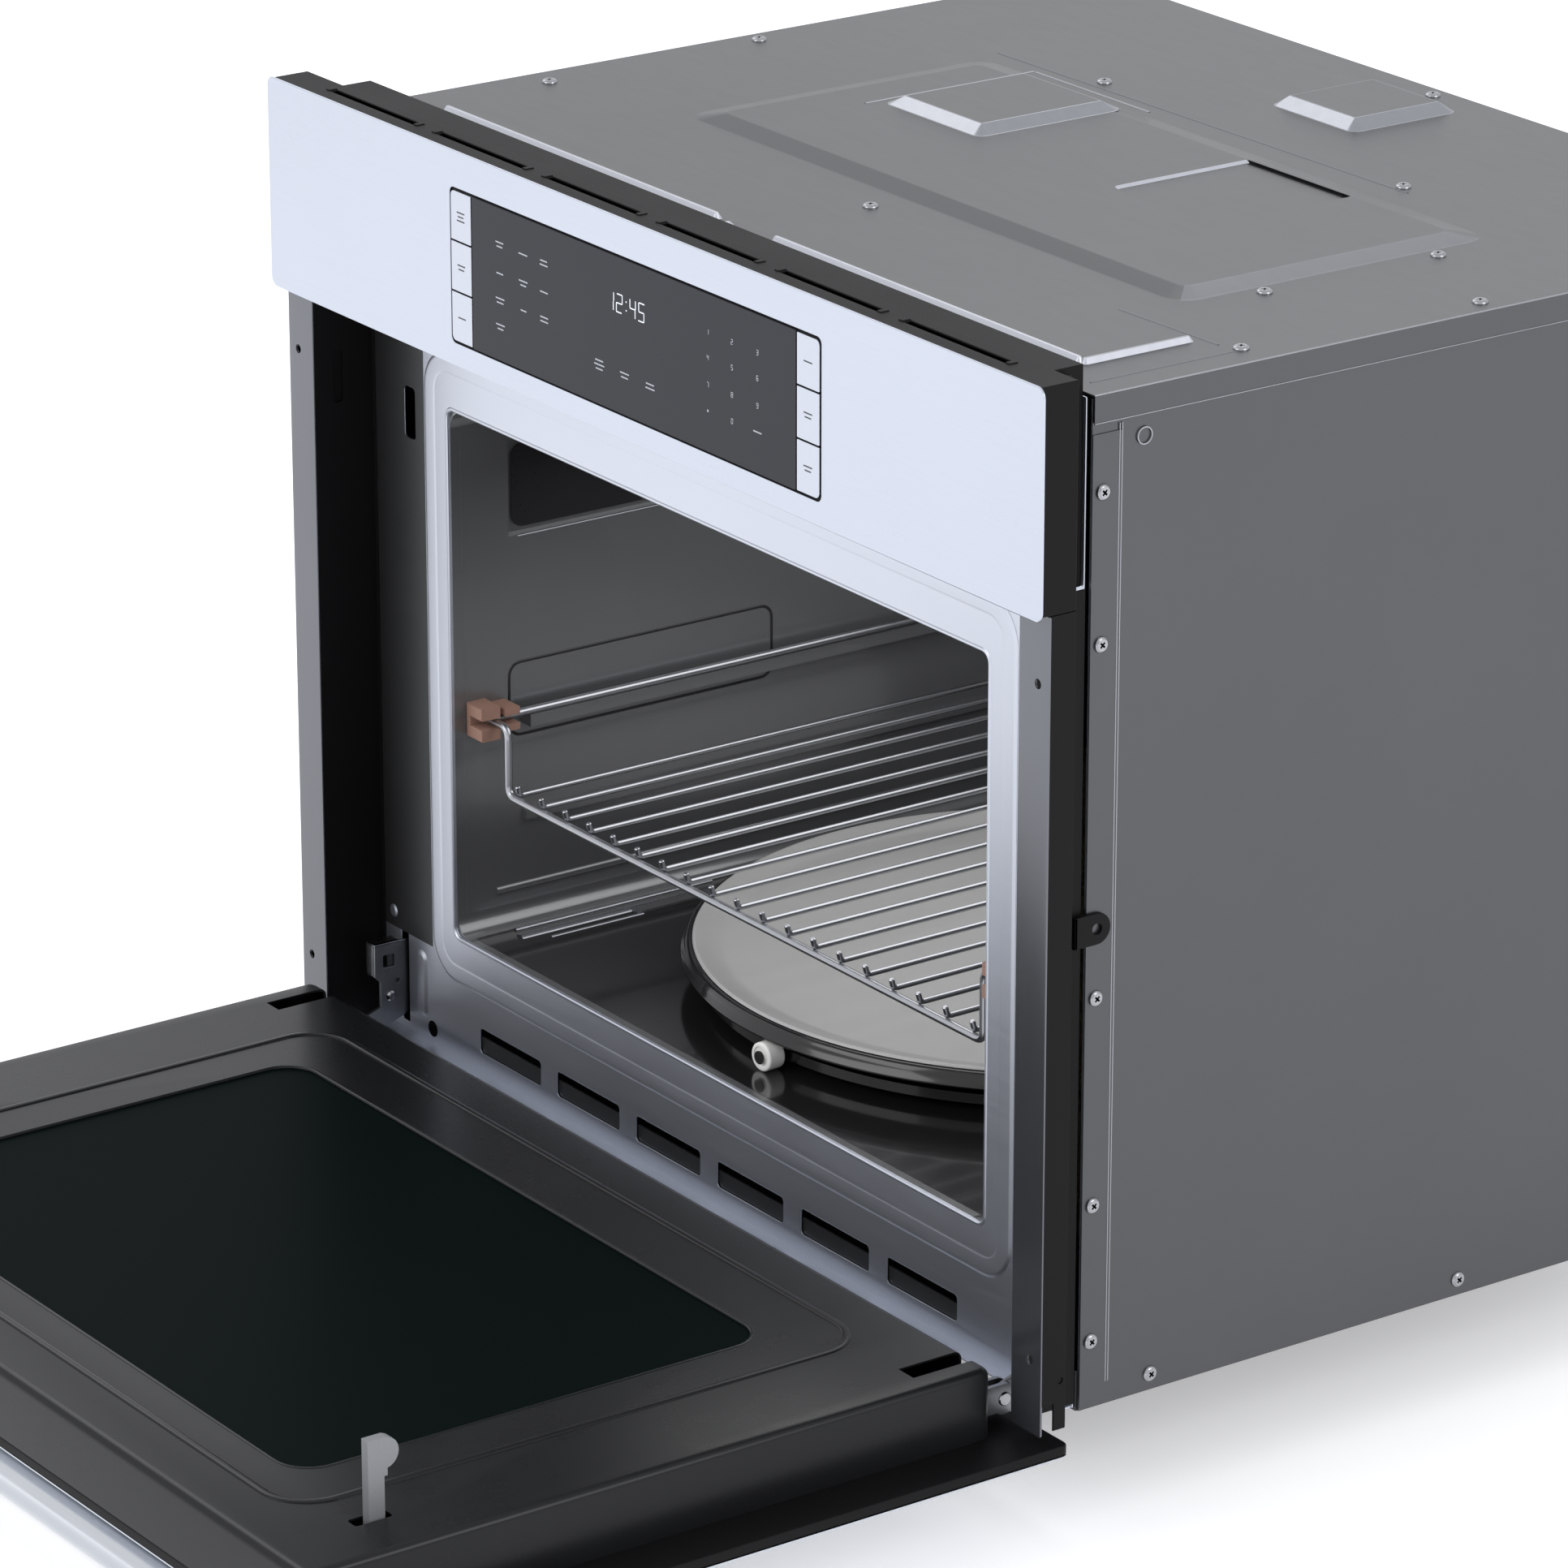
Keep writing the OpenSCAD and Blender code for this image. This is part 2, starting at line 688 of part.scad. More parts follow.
module turntable_coupler() {
    color("white") difference() {
        union() {
            rod_z(floor_z + 1, dish_z - 0.1, 0, turn_y, 7.4);
            for (a = [0, 120, 240]) translate([0, turn_y, floor_z + 3]) rotate([0, 0, a])
                block([0, -4, 0], [22, 4, dish_z - 0.1 - floor_z - 3]);
        }
        rod_z(floor_z, floor_z + 8, 0, turn_y, 3.55);
    }
}

module roller_ring() {
    z = floor_z + roller_r;
    color("dimgray") {
        difference() {
            translate([0, turn_y, z - 3]) cylinder(h = 6, r = roller_run_r - 8, $fn = 96);
            translate([0, turn_y, z - 4]) cylinder(h = 8, r = roller_run_r - 14, $fn = 96);
        }
        for (a = roller_angles) translate([0, turn_y, z]) rotate([0, 0, a]) rotate([0, 90, 0]) {
            translate([0, 0, roller_run_r - 9]) cylinder(h = 16.3, r = 2);
            translate([0, 0, roller_run_r + 6.3]) cylinder(h = 1, r = 4);
        }
    }
}

module roller(angle) {
    color("white") translate([0, turn_y, floor_z + roller_r]) rotate([0, 0, angle]) rotate([0, 90, 0])
        difference() {
            translate([0, 0, roller_run_r - 6]) cylinder(h = 12, r = roller_r - 0.3);
            translate([0, 0, roller_run_r - 8]) cylinder(h = 16, r = 2.06);
        }
}

module roller_front() {
    roller(roller_angles[0]);
}

module roller_right() {
    roller(roller_angles[1]);
}

module roller_left() {
    roller(roller_angles[2]);
}

module metal_dish() {
    rim = roller_run_r + 3;
    color("black") translate([0, turn_y, dish_z]) rotate_extrude($fn = 96) polygon([
        [0, 0], [rim - 1, 0], [rim, 1], [rim - 1.5, 4], [rim - 4, 9], [rim - 6, 9.6], [rim - 8, 8.4],
        [rim - 9, 1.4], [0, 1.4]]);
}

module ceramic_tray() {
    color("lightgray") translate([0, turn_y, dish_z + 1.5]) rotate_extrude($fn = 96) polygon([
        [0, 0], [tray_r - 14, 0], [tray_r, 8.5], [tray_r - 1.5, 10], [tray_r - 6, 8.4],
        [tray_r - 20, 4.6], [0, 4.6]]);
}

// ---------------------------------------------------------------- rack

module rack_insulators() {
    top = rail_z + 12.5;
    slot_low = rail_z - wire_r - 0.5;
    slot_high = rail_z + wire_r + 0.5;
    color("sienna") for (s = [0, 1]) mirror([s, 0, 0]) {
        // front clips, screwed to the wall ahead of the ledges
        difference() {
            block([249, face_y + 8, rail_z - 12], [half_cavity - 0.1, face_y + 36, top]);
            block([230, face_y + 7, slot_low], [262, face_y + 37, slot_high]);
        }
        // rear clips, standing on the ledges
        difference() {
            block([249, 118, ledge_z + 0.1], [half_cavity - 0.1, 146, top]);
            block([230, 117, slot_low], [262, 147, slot_high]);
        }
    }
}

module wire_rack() {
    nib_z = deck_z + wire_r + thin_r - 1;
    wire_faces = 12;
    color("silver") {
        for (y = [rack_front_y, rack_back_y]) {
            rod_x(-rack_half - wire_r, rack_half + wire_r, y, deck_z, wire_r, $fn = wire_faces);
            for (s = [-1, 1]) {
                rod_z(deck_z, rail_z + 2, s * rack_half, y, wire_r - 0.3, $fn = wire_faces);
                rod_x(s > 0 ? rack_half - 2 : -rail_x, s > 0 ? rail_x : 2 - rack_half, y, rail_z,
                      wire_r - 0.15, $fn = wire_faces);
            }
        }
        for (s = [-1, 1])
            rod_y(rack_front_y - wire_r, rack_back_y + wire_r, s * rail_x, rail_z, wire_r,
                  $fn = wire_faces);
        for (i = [0 : rack_wires - 1]) {
            x = (i - (rack_wires - 1) / 2) * (2 * rack_half - 20) / (rack_wires - 1);
            rod_y(rack_front_y - thin_r, rack_back_y + 1, x, nib_z, thin_r, $fn = wire_faces);
            rod_z(nib_z, nib_z + 6, x, rack_front_y, thin_r - 0.4, $fn = wire_faces);
        }
    }
}

// ---------------------------------------------------------------- hinges and latches

module hinge_receivers() {
    color("silver") for (s = [0, 1]) mirror([s, 0, 0]) difference() {
        block([hinge_x - 10, face_y + 0.1, 26], [hinge_x + 10, face_y + 36, 76]);
        block([hinge_x - 8.5, face_y - 1, 25], [hinge_x + 8.5, face_y + 34.5, 74.5]);
    }
}

// Steel arms that hook into the case and carry the hinge pins
module hinge_arms() {
    color("silver") for (s = [0, 1]) mirror([s, 0, 0]) {
        difference() {
            union() {
                sideways(hinge_x - 1.4, 2.8) polygon([
                    [hinge_y - 5, hinge_z - 3], [hinge_y, hinge_z - 7], [hinge_y + 8, hinge_z - 5],
                    [face_y - 4, 12], [face_y + 24, 30], [face_y + 24, 60], [face_y - 4, 62],
                    [face_y - 24, 62], [face_y - 24, 40], [face_y - 20, 34],
                    [hinge_y - 5, hinge_z + 7]]);
                rod_x(hinge_x - 6.5, hinge_x + 6.5, hinge_y, hinge_z, 4);
            }
            block([hinge_x - 5, face_y - 18, 46], [hinge_x + 5, face_y - 10, 54]);
        }
        rod_x(hinge_x - 2.6, hinge_x + 2.6, face_y - 12, 31, 3);
    }
}

module hinge_channels() {
    color("silver") for (s = [0, 1]) mirror([s, 0, 0]) for (x = [hinge_x - 5.6, hinge_x + 2.8])
        difference() {
            union() {
                rod_x(x, x + 2.8, hinge_y, hinge_z, 9);
                block([x, hinge_y - 190, 2], [x + 2.8, hinge_y, hinge_z + 9]);
            }
            rod_x(x - 1, x + 4, hinge_y, hinge_z, 4.05);
        }
}

module latch_housings() {
    color("ivory") for (s = [0, 1]) mirror([s, 0, 0]) difference() {
        block([latch_x - 14, face_y + 0.1, latch_z - 28], [latch_x + 14, face_y + 62, latch_z + 28]);
        block([latch_x - 12, face_y - 1, latch_z - 26], [latch_x + 12, face_y + 60, latch_z + 26]);
    }
}

// Sprung hook that stands on the door's inner face and enters the slot beside the cavity
module latch_hook() {
    sideways(latch_x - 3, 6) difference() {
        union() {
            translate([hook_y, hook_pivot_z]) circle(7);
            translate([hook_y - 5, hook_pivot_z]) square([10, 44]);
            translate([hook_y - 5, 62]) square([12, 22]);
            translate([hook_y + 5, 75]) circle(9);
        }
        translate([hook_y, hook_pivot_z]) circle(2.55);
    }
}

module latch_hook_right() {
    color("gray") latch_hook();
}

module latch_hook_left() {
    color("gray") mirror([1, 0, 0]) latch_hook();
}

// ---------------------------------------------------------------- door

module door_liner() {
    ring_mid = (ring_near_y + ring_far_y) / 2;
    window_mid = (window_near_y + window_far_y) / 2;
    color("darkslategray") difference() {
        union() {
            difference() {
                block([-liner_half, door_free_y, panel_top_z + 0.1],
                      [liner_half, liner_end_y, door_in_z]);
                block([-liner_half + sheet, door_free_y + sheet, panel_top_z - 1],
                      [liner_half - sheet, liner_end_y - sheet, door_in_z - sheet]);
            }
            // bead round the window
            translate([0, ring_mid, 0]) level(door_in_z, 1)
                ring_outline(ring_w, ring_near_y - ring_far_y, 30, 5);
            // pivot pins of the latch hooks
            for (s = [0, 1]) mirror([s, 0, 0]) {
                rod_x(latch_x - 9, latch_x + 9, hook_y, hook_pivot_z, 2.5);
                for (x = [latch_x - 11, latch_x + 9])
                    block([x, hook_y - 6, hook_pivot_z - 6], [x + 2, hook_y + 6, door_in_z - sheet]);
            }
        }
        translate([0, window_mid, 0]) level(door_in_z - 5, 10)
            rounded(window_w, window_near_y - window_far_y, 22);
        for (s = [-1, 1]) {
            // openings for the hinge arm and its channel
            block([s * hinge_x - hinge_slot_w / 2, liner_end_y - 38, door_in_z - 3],
                  [s * hinge_x + hinge_slot_w / 2, liner_end_y + 1, door_in_z + 1]);
            block([s * hinge_x - hinge_slot_w / 2, liner_end_y - 3, panel_top_z - 1],
                  [s * hinge_x + hinge_slot_w / 2, liner_end_y + 1, door_in_z + 1]);
            // slot for the latch hook
            block([s * latch_x - 4.5, hook_y - 14, door_in_z - 3],
                  [s * latch_x + 4.5, hook_y + 9, door_in_z + 2]);
        }
    }
}

module door_inner_glass() {
    mid_y = (window_near_y + window_far_y) / 2;
    color("darkslategray") translate([0, mid_y, 0]) level(door_in_z - sheet - 4.2, 4)
        rounded(window_w + 24, window_near_y - window_far_y + 24, 24);
}

module microwave_screen() {
    mid_y = (window_near_y + window_far_y) / 2;
    color("dimgray") translate([0, mid_y, 0]) {
        level(22, 0.8) rounded(window_w + 40, window_near_y - window_far_y + 40, 20);
        // folded choke rim that lifts the screen off the outer panel
        difference() {
            level(panel_top_z + 0.1, 22 - panel_top_z - 0.1)
                rounded(window_w + 40, window_near_y - window_far_y + 40, 20);
            level(panel_top_z - 1, 30) rounded(window_w + 37, window_near_y - window_far_y + 37, 18.5);
        }
    }
}

module door_outer_panel() {
    mid_y = (window_near_y + window_far_y) / 2;
    length = panel_end_y - door_free_y;
    color("black") difference() {
        translate([0, (panel_end_y + door_free_y) / 2, 0]) level(panel_top_z - panel_t, panel_t)
            rounded(front_w - 2, length, 5);
        translate([0, mid_y, 0]) level(panel_top_z - panel_t - 1, panel_t + 2)
            square([window_w - 10, window_near_y - window_far_y - 40], center = true);
    }
}

module door_skin() {
    mid_y = (window_near_y + window_far_y) / 2;
    length = panel_end_y - door_free_y;
    color("lightsteelblue") difference() {
        translate([0, (panel_end_y + door_free_y) / 2, 0])
            level(panel_top_z - panel_t - skin_t, skin_t - 0.02)
            rounded(front_w - 1, length, 5.5);
        translate([0, mid_y, 0]) level(panel_top_z - panel_t - 3, 4)
            rounded(window_w - 24, window_near_y - window_far_y - 54, 12);
    }
}

module door_outer_glass() {
    mid_y = (window_near_y + window_far_y) / 2;
    color("black") translate([0, mid_y, 0]) level(panel_top_z - panel_t + 0.05, 5)
        square([window_w - 10.6, window_near_y - window_far_y - 40.6], center = true);
}

module handle_bar() {
    color("silver") difference() {
        rod_x(-handle_len / 2, handle_len / 2, handle_y, handle_z, handle_dia / 2);
        for (s = [-1, 1]) rod_z(handle_z, handle_z + handle_dia, s * post_x, handle_y, 7);
    }
}

module handle_posts() {
    top = panel_top_z - panel_t - skin_t - 0.05;
    color("silver") for (s = [-1, 1]) {
        rod_z(handle_z + 0.1, top, s * post_x, handle_y, 6.9);
        rod_z(top - 5, top, s * post_x, handle_y, 11);
    }
}

// ---------------------------------------------------------------- the pieces

base_pan();
side_panel_left();
side_panel_right();
top_cover();
rear_panel();
face_frame();
side_trim_left();
side_trim_right();
case_screws();
control_fascia();
display_glass();
touch_keys_left();
touch_keys_right();
panel_housing();
control_board();
cavity_liner();
insulation_blanket();
component_deck();
grill_element();
waveguide();
waveguide_cover();
magnetron();
high_voltage_transformer();
high_voltage_capacitor();
blower_housing();
blower_motor();
blower_wheel();
fan_compartment();
ring_heater();
convection_motor();
convection_fan();
turntable_motor();
turntable_coupler();
roller_ring();
roller_front();
roller_right();
roller_left();
metal_dish();
ceramic_tray();
lamp_holder();
lamp_lens();
rack_insulators();
wire_rack();
hinge_receivers();
hinge_arms();
latch_housings();
terminal_cover();
door_liner();
door_inner_glass();
microwave_screen();
door_outer_panel();
door_skin();
door_outer_glass();
hinge_channels();
latch_hook_left();
latch_hook_right();
handle_bar();
handle_posts();
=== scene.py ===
"""Looks of the wall oven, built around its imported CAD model.

Lengths in the shape code are millimetres, in the model's own frame; pieces are made in metres.
"""

import math

import bmesh
import bpy
from mathutils import Matrix, Vector
from mathutils.geometry import tessellate_polygon


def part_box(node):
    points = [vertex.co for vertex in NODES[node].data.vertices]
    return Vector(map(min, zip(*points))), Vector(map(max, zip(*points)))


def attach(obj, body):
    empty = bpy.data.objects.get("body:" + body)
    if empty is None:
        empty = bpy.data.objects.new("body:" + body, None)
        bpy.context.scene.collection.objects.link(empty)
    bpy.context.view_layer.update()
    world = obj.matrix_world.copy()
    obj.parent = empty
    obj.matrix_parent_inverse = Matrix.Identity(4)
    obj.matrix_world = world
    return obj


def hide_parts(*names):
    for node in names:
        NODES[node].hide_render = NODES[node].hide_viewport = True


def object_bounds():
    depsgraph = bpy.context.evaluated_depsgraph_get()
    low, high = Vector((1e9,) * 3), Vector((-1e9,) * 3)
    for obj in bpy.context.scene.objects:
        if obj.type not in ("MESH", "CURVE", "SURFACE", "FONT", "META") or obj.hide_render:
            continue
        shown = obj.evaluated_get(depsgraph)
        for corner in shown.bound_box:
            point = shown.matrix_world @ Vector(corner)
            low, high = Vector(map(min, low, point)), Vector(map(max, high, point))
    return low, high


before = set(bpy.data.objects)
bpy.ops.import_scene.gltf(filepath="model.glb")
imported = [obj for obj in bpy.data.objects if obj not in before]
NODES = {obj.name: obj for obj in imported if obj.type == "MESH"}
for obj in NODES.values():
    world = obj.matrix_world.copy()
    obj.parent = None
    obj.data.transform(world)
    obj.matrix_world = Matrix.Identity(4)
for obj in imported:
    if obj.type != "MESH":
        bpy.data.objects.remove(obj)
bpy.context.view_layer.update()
MM = 0.001

# planes and lines of the CAD model that several pieces share, in millimetres
FACE_Y = -268.0                     # front edge of the case
FRAME_Y = FACE_Y - 1.2              # front of the face frame's sheet
TOP_Z = 580.0                       # upper face of the top cover's sheet
CAVITY_W, CAVITY_H = 532.0, 332.0
CAVITY_FLOOR, CAVITY_BACK = 82.0, 208.0
HINGE_X, PIN_Y, PIN_Z = 324, -301.7, 9.3
HOOK_X, HOOK_Y, HOOK_Z = 308, -693.4, 22
HOOK_SLOT_Z = 401                   # latch slots of the face frame
VENTS = [(i - 2.5) * 83.4 for i in range(6)]
VENT_Z = 22


def corners(node):
    """A CAD node's lowest and highest corner, in millimetres."""
    low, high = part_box(node)
    return Vector(low) / MM, Vector(high) / MM


# ------------------------------------------------------------------ camera, light, floor

LENS = 176.6
AZIMUTH = math.radians(54.72)
ELEVATION = math.radians(20.31)
CAMERA_AT = Vector((3.370, -2.600, 1.776))

scene = bpy.context.scene


def add_camera():
    back = Vector((math.sin(AZIMUTH) * math.cos(ELEVATION),
                   -math.cos(AZIMUTH) * math.cos(ELEVATION), math.sin(ELEVATION)))
    right = Vector((math.cos(AZIMUTH), math.sin(AZIMUTH), 0))
    up = back.cross(right)
    data = bpy.data.cameras.new("camera")
    data.lens = LENS
    data.sensor_width = 36
    data.clip_end = 60
    camera = bpy.data.objects.new("camera", data)
    turn = Matrix((right, up, back)).transposed().to_4x4()
    camera.matrix_world = Matrix.Translation(CAMERA_AT) @ turn
    scene.collection.objects.link(camera)
    scene.camera = camera


def add_area(name, place, target, size, power, tint=(1, 1, 1)):
    data = bpy.data.lights.new(name, "AREA")
    data.shape = "RECTANGLE"
    data.size, data.size_y = size
    data.energy = power
    data.color = tint
    light = bpy.data.objects.new(name, data)
    light.location = place
    aim = Vector(target) - Vector(place)
    light.rotation_euler = aim.to_track_quat("-Z", "Y").to_euler()
    scene.collection.objects.link(light)


def add_world(strength):
    world = bpy.data.worlds.new("studio")
    world.use_nodes = True
    node = world.node_tree.nodes["Background"]
    node.inputs["Color"].default_value = (0.97, 0.98, 1.0, 1)
    node.inputs["Strength"].default_value = strength
    scene.world = world


# ------------------------------------------------------------------ materials

def linear(*rgb):
    """sRGB 0 to 255 as the linear colour that shaders take."""
    out = []
    for c in rgb:
        c /= 255
        out.append(c / 12.92 if c <= 0.04045 else ((c + 0.055) / 1.055) ** 2.4)
    return tuple(out)


MATERIALS = {}


def shader_node(tree, kind, values=()):
    """A new shader node, with some of its inputs set."""
    node = tree.nodes.new("ShaderNode" + kind)
    set_inputs(node, values)
    return node


def set_inputs(node, values):
    for name, value in dict(values).items():
        node.inputs[name].default_value = value


def multiplied(tree, first, second):
    """Output of two colours multiplied."""
    node = shader_node(tree, "Mix")
    node.data_type = "RGBA"
    node.blend_type = "MULTIPLY"
    node.inputs["Factor"].default_value = 1
    tree.links.new(first, node.inputs["A"])
    tree.links.new(second, node.inputs["B"])
    return node.outputs["Result"]


def finish(name, rgb, metal=0.0, rough=0.4, grain=(60, 60, 60), tone=0.06, rough_by=0.08,
           bump=0.05, depth=0.2, smudge=0.05, coat=0.0, ior=1.5, glow=0.0, speck=0.0, transmission=0.0):
    """A procedural finish: grain stretched along an axis, broad smudges, fine roughness and bump."""
    material = bpy.data.materials.new(name)
    material.use_nodes = True
    tree = material.node_tree
    link = tree.links.new
    shader = tree.nodes["Principled BSDF"]
    set_inputs(shader, {"Metallic": metal, "IOR": ior, "Coat Weight": coat, "Coat Roughness": 0.06,
                        "Transmission Weight": transmission})

    where = shader_node(tree, "TexCoord")
    scale = shader_node(tree, "Mapping", {"Scale": grain})
    link(where.outputs["Object"], scale.inputs["Vector"])
    fine = shader_node(tree, "TexNoise", {"Scale": 8, "Detail": 5, "Roughness": 0.6})
    link(scale.outputs["Vector"], fine.inputs["Vector"])
    broad = shader_node(tree, "TexNoise", {"Scale": 7, "Detail": 4})
    link(where.outputs["Object"], broad.inputs["Vector"])

    base = linear(*rgb)
    shade = shader_node(tree, "Mix")
    shade.data_type = "RGBA"
    shade.inputs["A"].default_value = (*[c * (1 - tone) for c in base], 1)
    shade.inputs["B"].default_value = (*[min(1, c * (1 + tone)) for c in base], 1)
    link(fine.outputs["Fac"], shade.inputs["Factor"])
    spread = shader_node(tree, "MapRange", {"To Min": 1 - smudge, "To Max": 1 + smudge})
    link(broad.outputs["Fac"], spread.inputs["Value"])
    colour = multiplied(tree, shade.outputs["Result"], spread.outputs["Result"])
    if speck:
        cells = shader_node(tree, "TexVoronoi", {"Scale": 140})
        link(where.outputs["Object"], cells.inputs["Vector"])
        flake = shader_node(tree, "MapRange", {"To Min": 1 - speck, "To Max": 1 + speck})
        link(cells.outputs["Color"], flake.inputs["Value"])
        colour = multiplied(tree, colour, flake.outputs["Result"])
    link(colour, shader.inputs["Base Color"])
    if glow:
        link(colour, shader.inputs["Emission Color"])
        shader.inputs["Emission Strength"].default_value = glow

    both = shader_node(tree, "Math")
    both.operation = "MULTIPLY_ADD"
    both.inputs[1].default_value = 0.6
    link(fine.outputs["Fac"], both.inputs[0])
    part = shader_node(tree, "Math")
    part.operation = "MULTIPLY"
    part.inputs[1].default_value = 0.4
    link(broad.outputs["Fac"], part.inputs[0])
    link(part.outputs["Value"], both.inputs[2])
    gloss = shader_node(tree, "MapRange", {"From Min": 0.25, "From Max": 0.75,
                                           "To Min": max(0.02, rough - rough_by),
                                           "To Max": min(1, rough + rough_by)})
    link(both.outputs["Value"], gloss.inputs["Value"])
    link(gloss.outputs["Result"], shader.inputs["Roughness"])

    relief = shader_node(tree, "Bump", {"Strength": bump, "Distance": depth * MM})
    link(fine.outputs["Fac"], relief.inputs["Height"])
    link(relief.outputs["Normal"], shader.inputs["Normal"])
    material.diffuse_color = (*base, 1)
    MATERIALS[name] = material
    return material


def make_materials():
    # two sets of settings that several finishes share
    clean = {"tone": 0.03, "rough_by": 0.03, "bump": 0.01}
    sheet = {"grain": (3, 14, 14), **clean}
    finish("case_sheet", (84, 85, 87), metal=0.85, rough=0.32, **sheet)
    # lighter copy of case_sheet for slopes and creases that face the lamps: painted light
    finish("case_slope_lit", (104, 106, 111), metal=0.95, rough=0.32, **sheet)
    # lighter finish for pressed edges, rings and creases: painted highlights
    finish("case_edge_highlight", (150, 152, 158), metal=1, rough=0.3, grain=(20, 20, 20), bump=0.01)
    # near-white finish for lips and ridges of the grey sheet: painted highlights
    finish("lip_highlight", (196, 198, 206), metal=1, rough=0.34, grain=(20, 20, 20), bump=0.01)
    finish("frame_satin", (196, 200, 210), metal=1, rough=0.42, grain=(3, 40, 40), tone=0.02,
           rough_by=0.03, bump=0.01)
    finish("fascia_brushed", (186, 191, 202), metal=1, rough=0.3, grain=(2, 160, 160), tone=0.05,
           bump=0.08, depth=0.05, rough_by=0.06)
    finish("skin_brushed", (190, 194, 201), metal=1, rough=0.28, grain=(2, 160, 160), tone=0.07,
           bump=0.12, depth=0.06)
    # darker finish for the face frame's side strips: painted shade
    finish("frame_side_shade", (84, 85, 86), metal=0.9, rough=0.4, grain=(3, 40, 40), **clean)
    # darker, glossier finish for the cavity floor: painted shade and reflection
    finish("cavity_floor_shade", (34, 34, 35), metal=0.2, rough=0.14, grain=(5, 5, 5), tone=0.04, rough_by=0.03,
           coat=0.5, bump=0.0)
    # darker finish for creases and the recess backing in the cavity: painted shade
    finish("cavity_crease_shade", (44, 44, 46), metal=0.5, rough=0.3, tone=0.03, bump=0.01)
    finish("trim_black", (13, 13, 14), rough=0.5, grain=(90, 90, 90), tone=0.12, bump=0.04, smudge=0.1,
           ior=1.22)
    finish("trim_grey", (104, 106, 111), metal=0.8, rough=0.22, grain=(60, 60, 4), tone=0.05,
           rough_by=0.03, bump=0.01)
    finish("housing_black", (11, 11, 12), rough=0.5, grain=(160, 160, 160), tone=0.15, bump=0.06, ior=1.22)
    finish("display_black", (46, 47, 52), rough=0.28, grain=(3, 3, 3), tone=0.01, rough_by=0.01,
           bump=0.002, smudge=0.02, ior=1.22)
    finish("key_face", (188, 192, 202), metal=1, rough=0.32, grain=(2, 160, 160), tone=0.04, bump=0.04)
    finish("print_light", (170, 174, 182), rough=0.6)
    finish("print_clock", (214, 219, 226), rough=0.5, glow=0.35, tone=0.01, smudge=0.01)
    finish("print_dark", (52, 54, 58), rough=0.5)
    finish("cavity_enamel", (116, 117, 119), metal=0.6, rough=0.24, grain=(4, 4, 4), tone=0.03,
           rough_by=0.03, coat=0.35, bump=0.0)
    # near-black finish for holes, slots and vents: painted shade
    finish("hole_shade_black", (2, 2, 2), rough=0.7, tone=0.02, bump=0.0, ior=1.1)
    finish("zinc", (132, 134, 138), metal=1, rough=0.34, grain=(30, 30, 30), tone=0.06, speck=0.06)
    finish("heater_sheath", (58, 57, 55), metal=0.8, rough=0.4, grain=(50, 50, 50), tone=0.12)
    finish("dish_enamel", (9, 9, 10), rough=0.16, coat=0.4, tone=0.05, grain=(5, 5, 5), rough_by=0.03,
           bump=0.002, ior=1.4)
    finish("tray_ceramic", (172, 172, 171), rough=0.34, coat=0.3, tone=0.02, grain=(10, 10, 10),
           rough_by=0.03, bump=0.004)
    finish("roller_white", (232, 232, 228), rough=0.36, tone=0.03, bump=0.05)
    finish("lens_glass", (214, 222, 222), rough=0.12, transmission=0.5, tone=0.02)
    finish("terracotta", (146, 112, 98), rough=0.66, grain=(120, 120, 120), tone=0.14, bump=0.4, depth=0.3)
    finish("chrome_wire", (168, 170, 175), metal=1, rough=0.3, grain=(20, 20, 20), **clean)
    finish("liner_enamel", (22, 23, 24), metal=0.15, rough=0.28, grain=(5, 5, 5), tone=0.03,
           rough_by=0.03, ior=1.32, bump=0.002)
    finish("door_glass", (9, 17, 16), rough=0.4, rough_by=0.01, grain=(5, 5, 5), tone=0.02, smudge=0.02,
           bump=0.001, ior=1.05)
    finish("screen_mesh", (60, 60, 62), metal=0.6, rough=0.4)
    finish("handle_steel", (200, 203, 208), metal=1, rough=0.2, grain=(2, 120, 120), tone=0.05, rough_by=0.06)
    finish("hook_grey", (126, 128, 131), metal=0.2, rough=0.42, grain=(80, 80, 80), tone=0.08, bump=0.15)
    finish("screw_zinc", (158, 159, 163), metal=1, rough=0.22, tone=0.05, bump=0.01)
    finish("board_green", (34, 74, 48), rough=0.5, tone=0.15)
    finish("blanket_wool", (176, 166, 128), rough=0.95, tone=0.25, bump=1, depth=1.5)
    finish("mica_sheet", (170, 146, 110), rough=0.5, tone=0.15)
    finish("plastic_white", (228, 228, 222), rough=0.45, tone=0.03)


# ------------------------------------------------------------------ outlines

def rectangle(w, h, cx=0.0, cy=0.0):
    return [(cx + x * w / 2, cy + y * h / 2) for x, y in ((-1, -1), (1, -1), (1, 1), (-1, 1))]


def rounded(w, h, r, cx=0.0, cy=0.0, n=6):
    """Rectangle with round corners; r is one radius, or four from the lower left, anticlockwise."""
    radii = r if isinstance(r, (list, tuple)) else [r] * 4
    signs = [(-1, -1), (1, -1), (1, 1), (-1, 1)]
    out = []
    for i, (sx, sy) in enumerate(signs):
        q = max(radii[i], 0.01)
        mx, my = cx + sx * (w / 2 - q), cy + sy * (h / 2 - q)
        start = math.pi + i * math.pi / 2
        for k in range(n + 1):
            a = start + math.pi / 2 * k / n
            out.append((mx + q * math.cos(a), my + q * math.sin(a)))
    return out


def circle(r, cx=0.0, cy=0.0, n=24):
    return [(cx + r * math.cos(math.tau * k / n), cy + r * math.sin(math.tau * k / n)) for k in range(n)]


def cross(arm, width):
    """Twelve-cornered cross; both are half lengths."""
    a, b = arm, width
    return [(-b, -a), (b, -a), (b, -b), (a, -b), (a, b), (b, b), (b, a), (-b, a), (-b, b), (-a, b), (-a, -b),
            (-b, -b)]


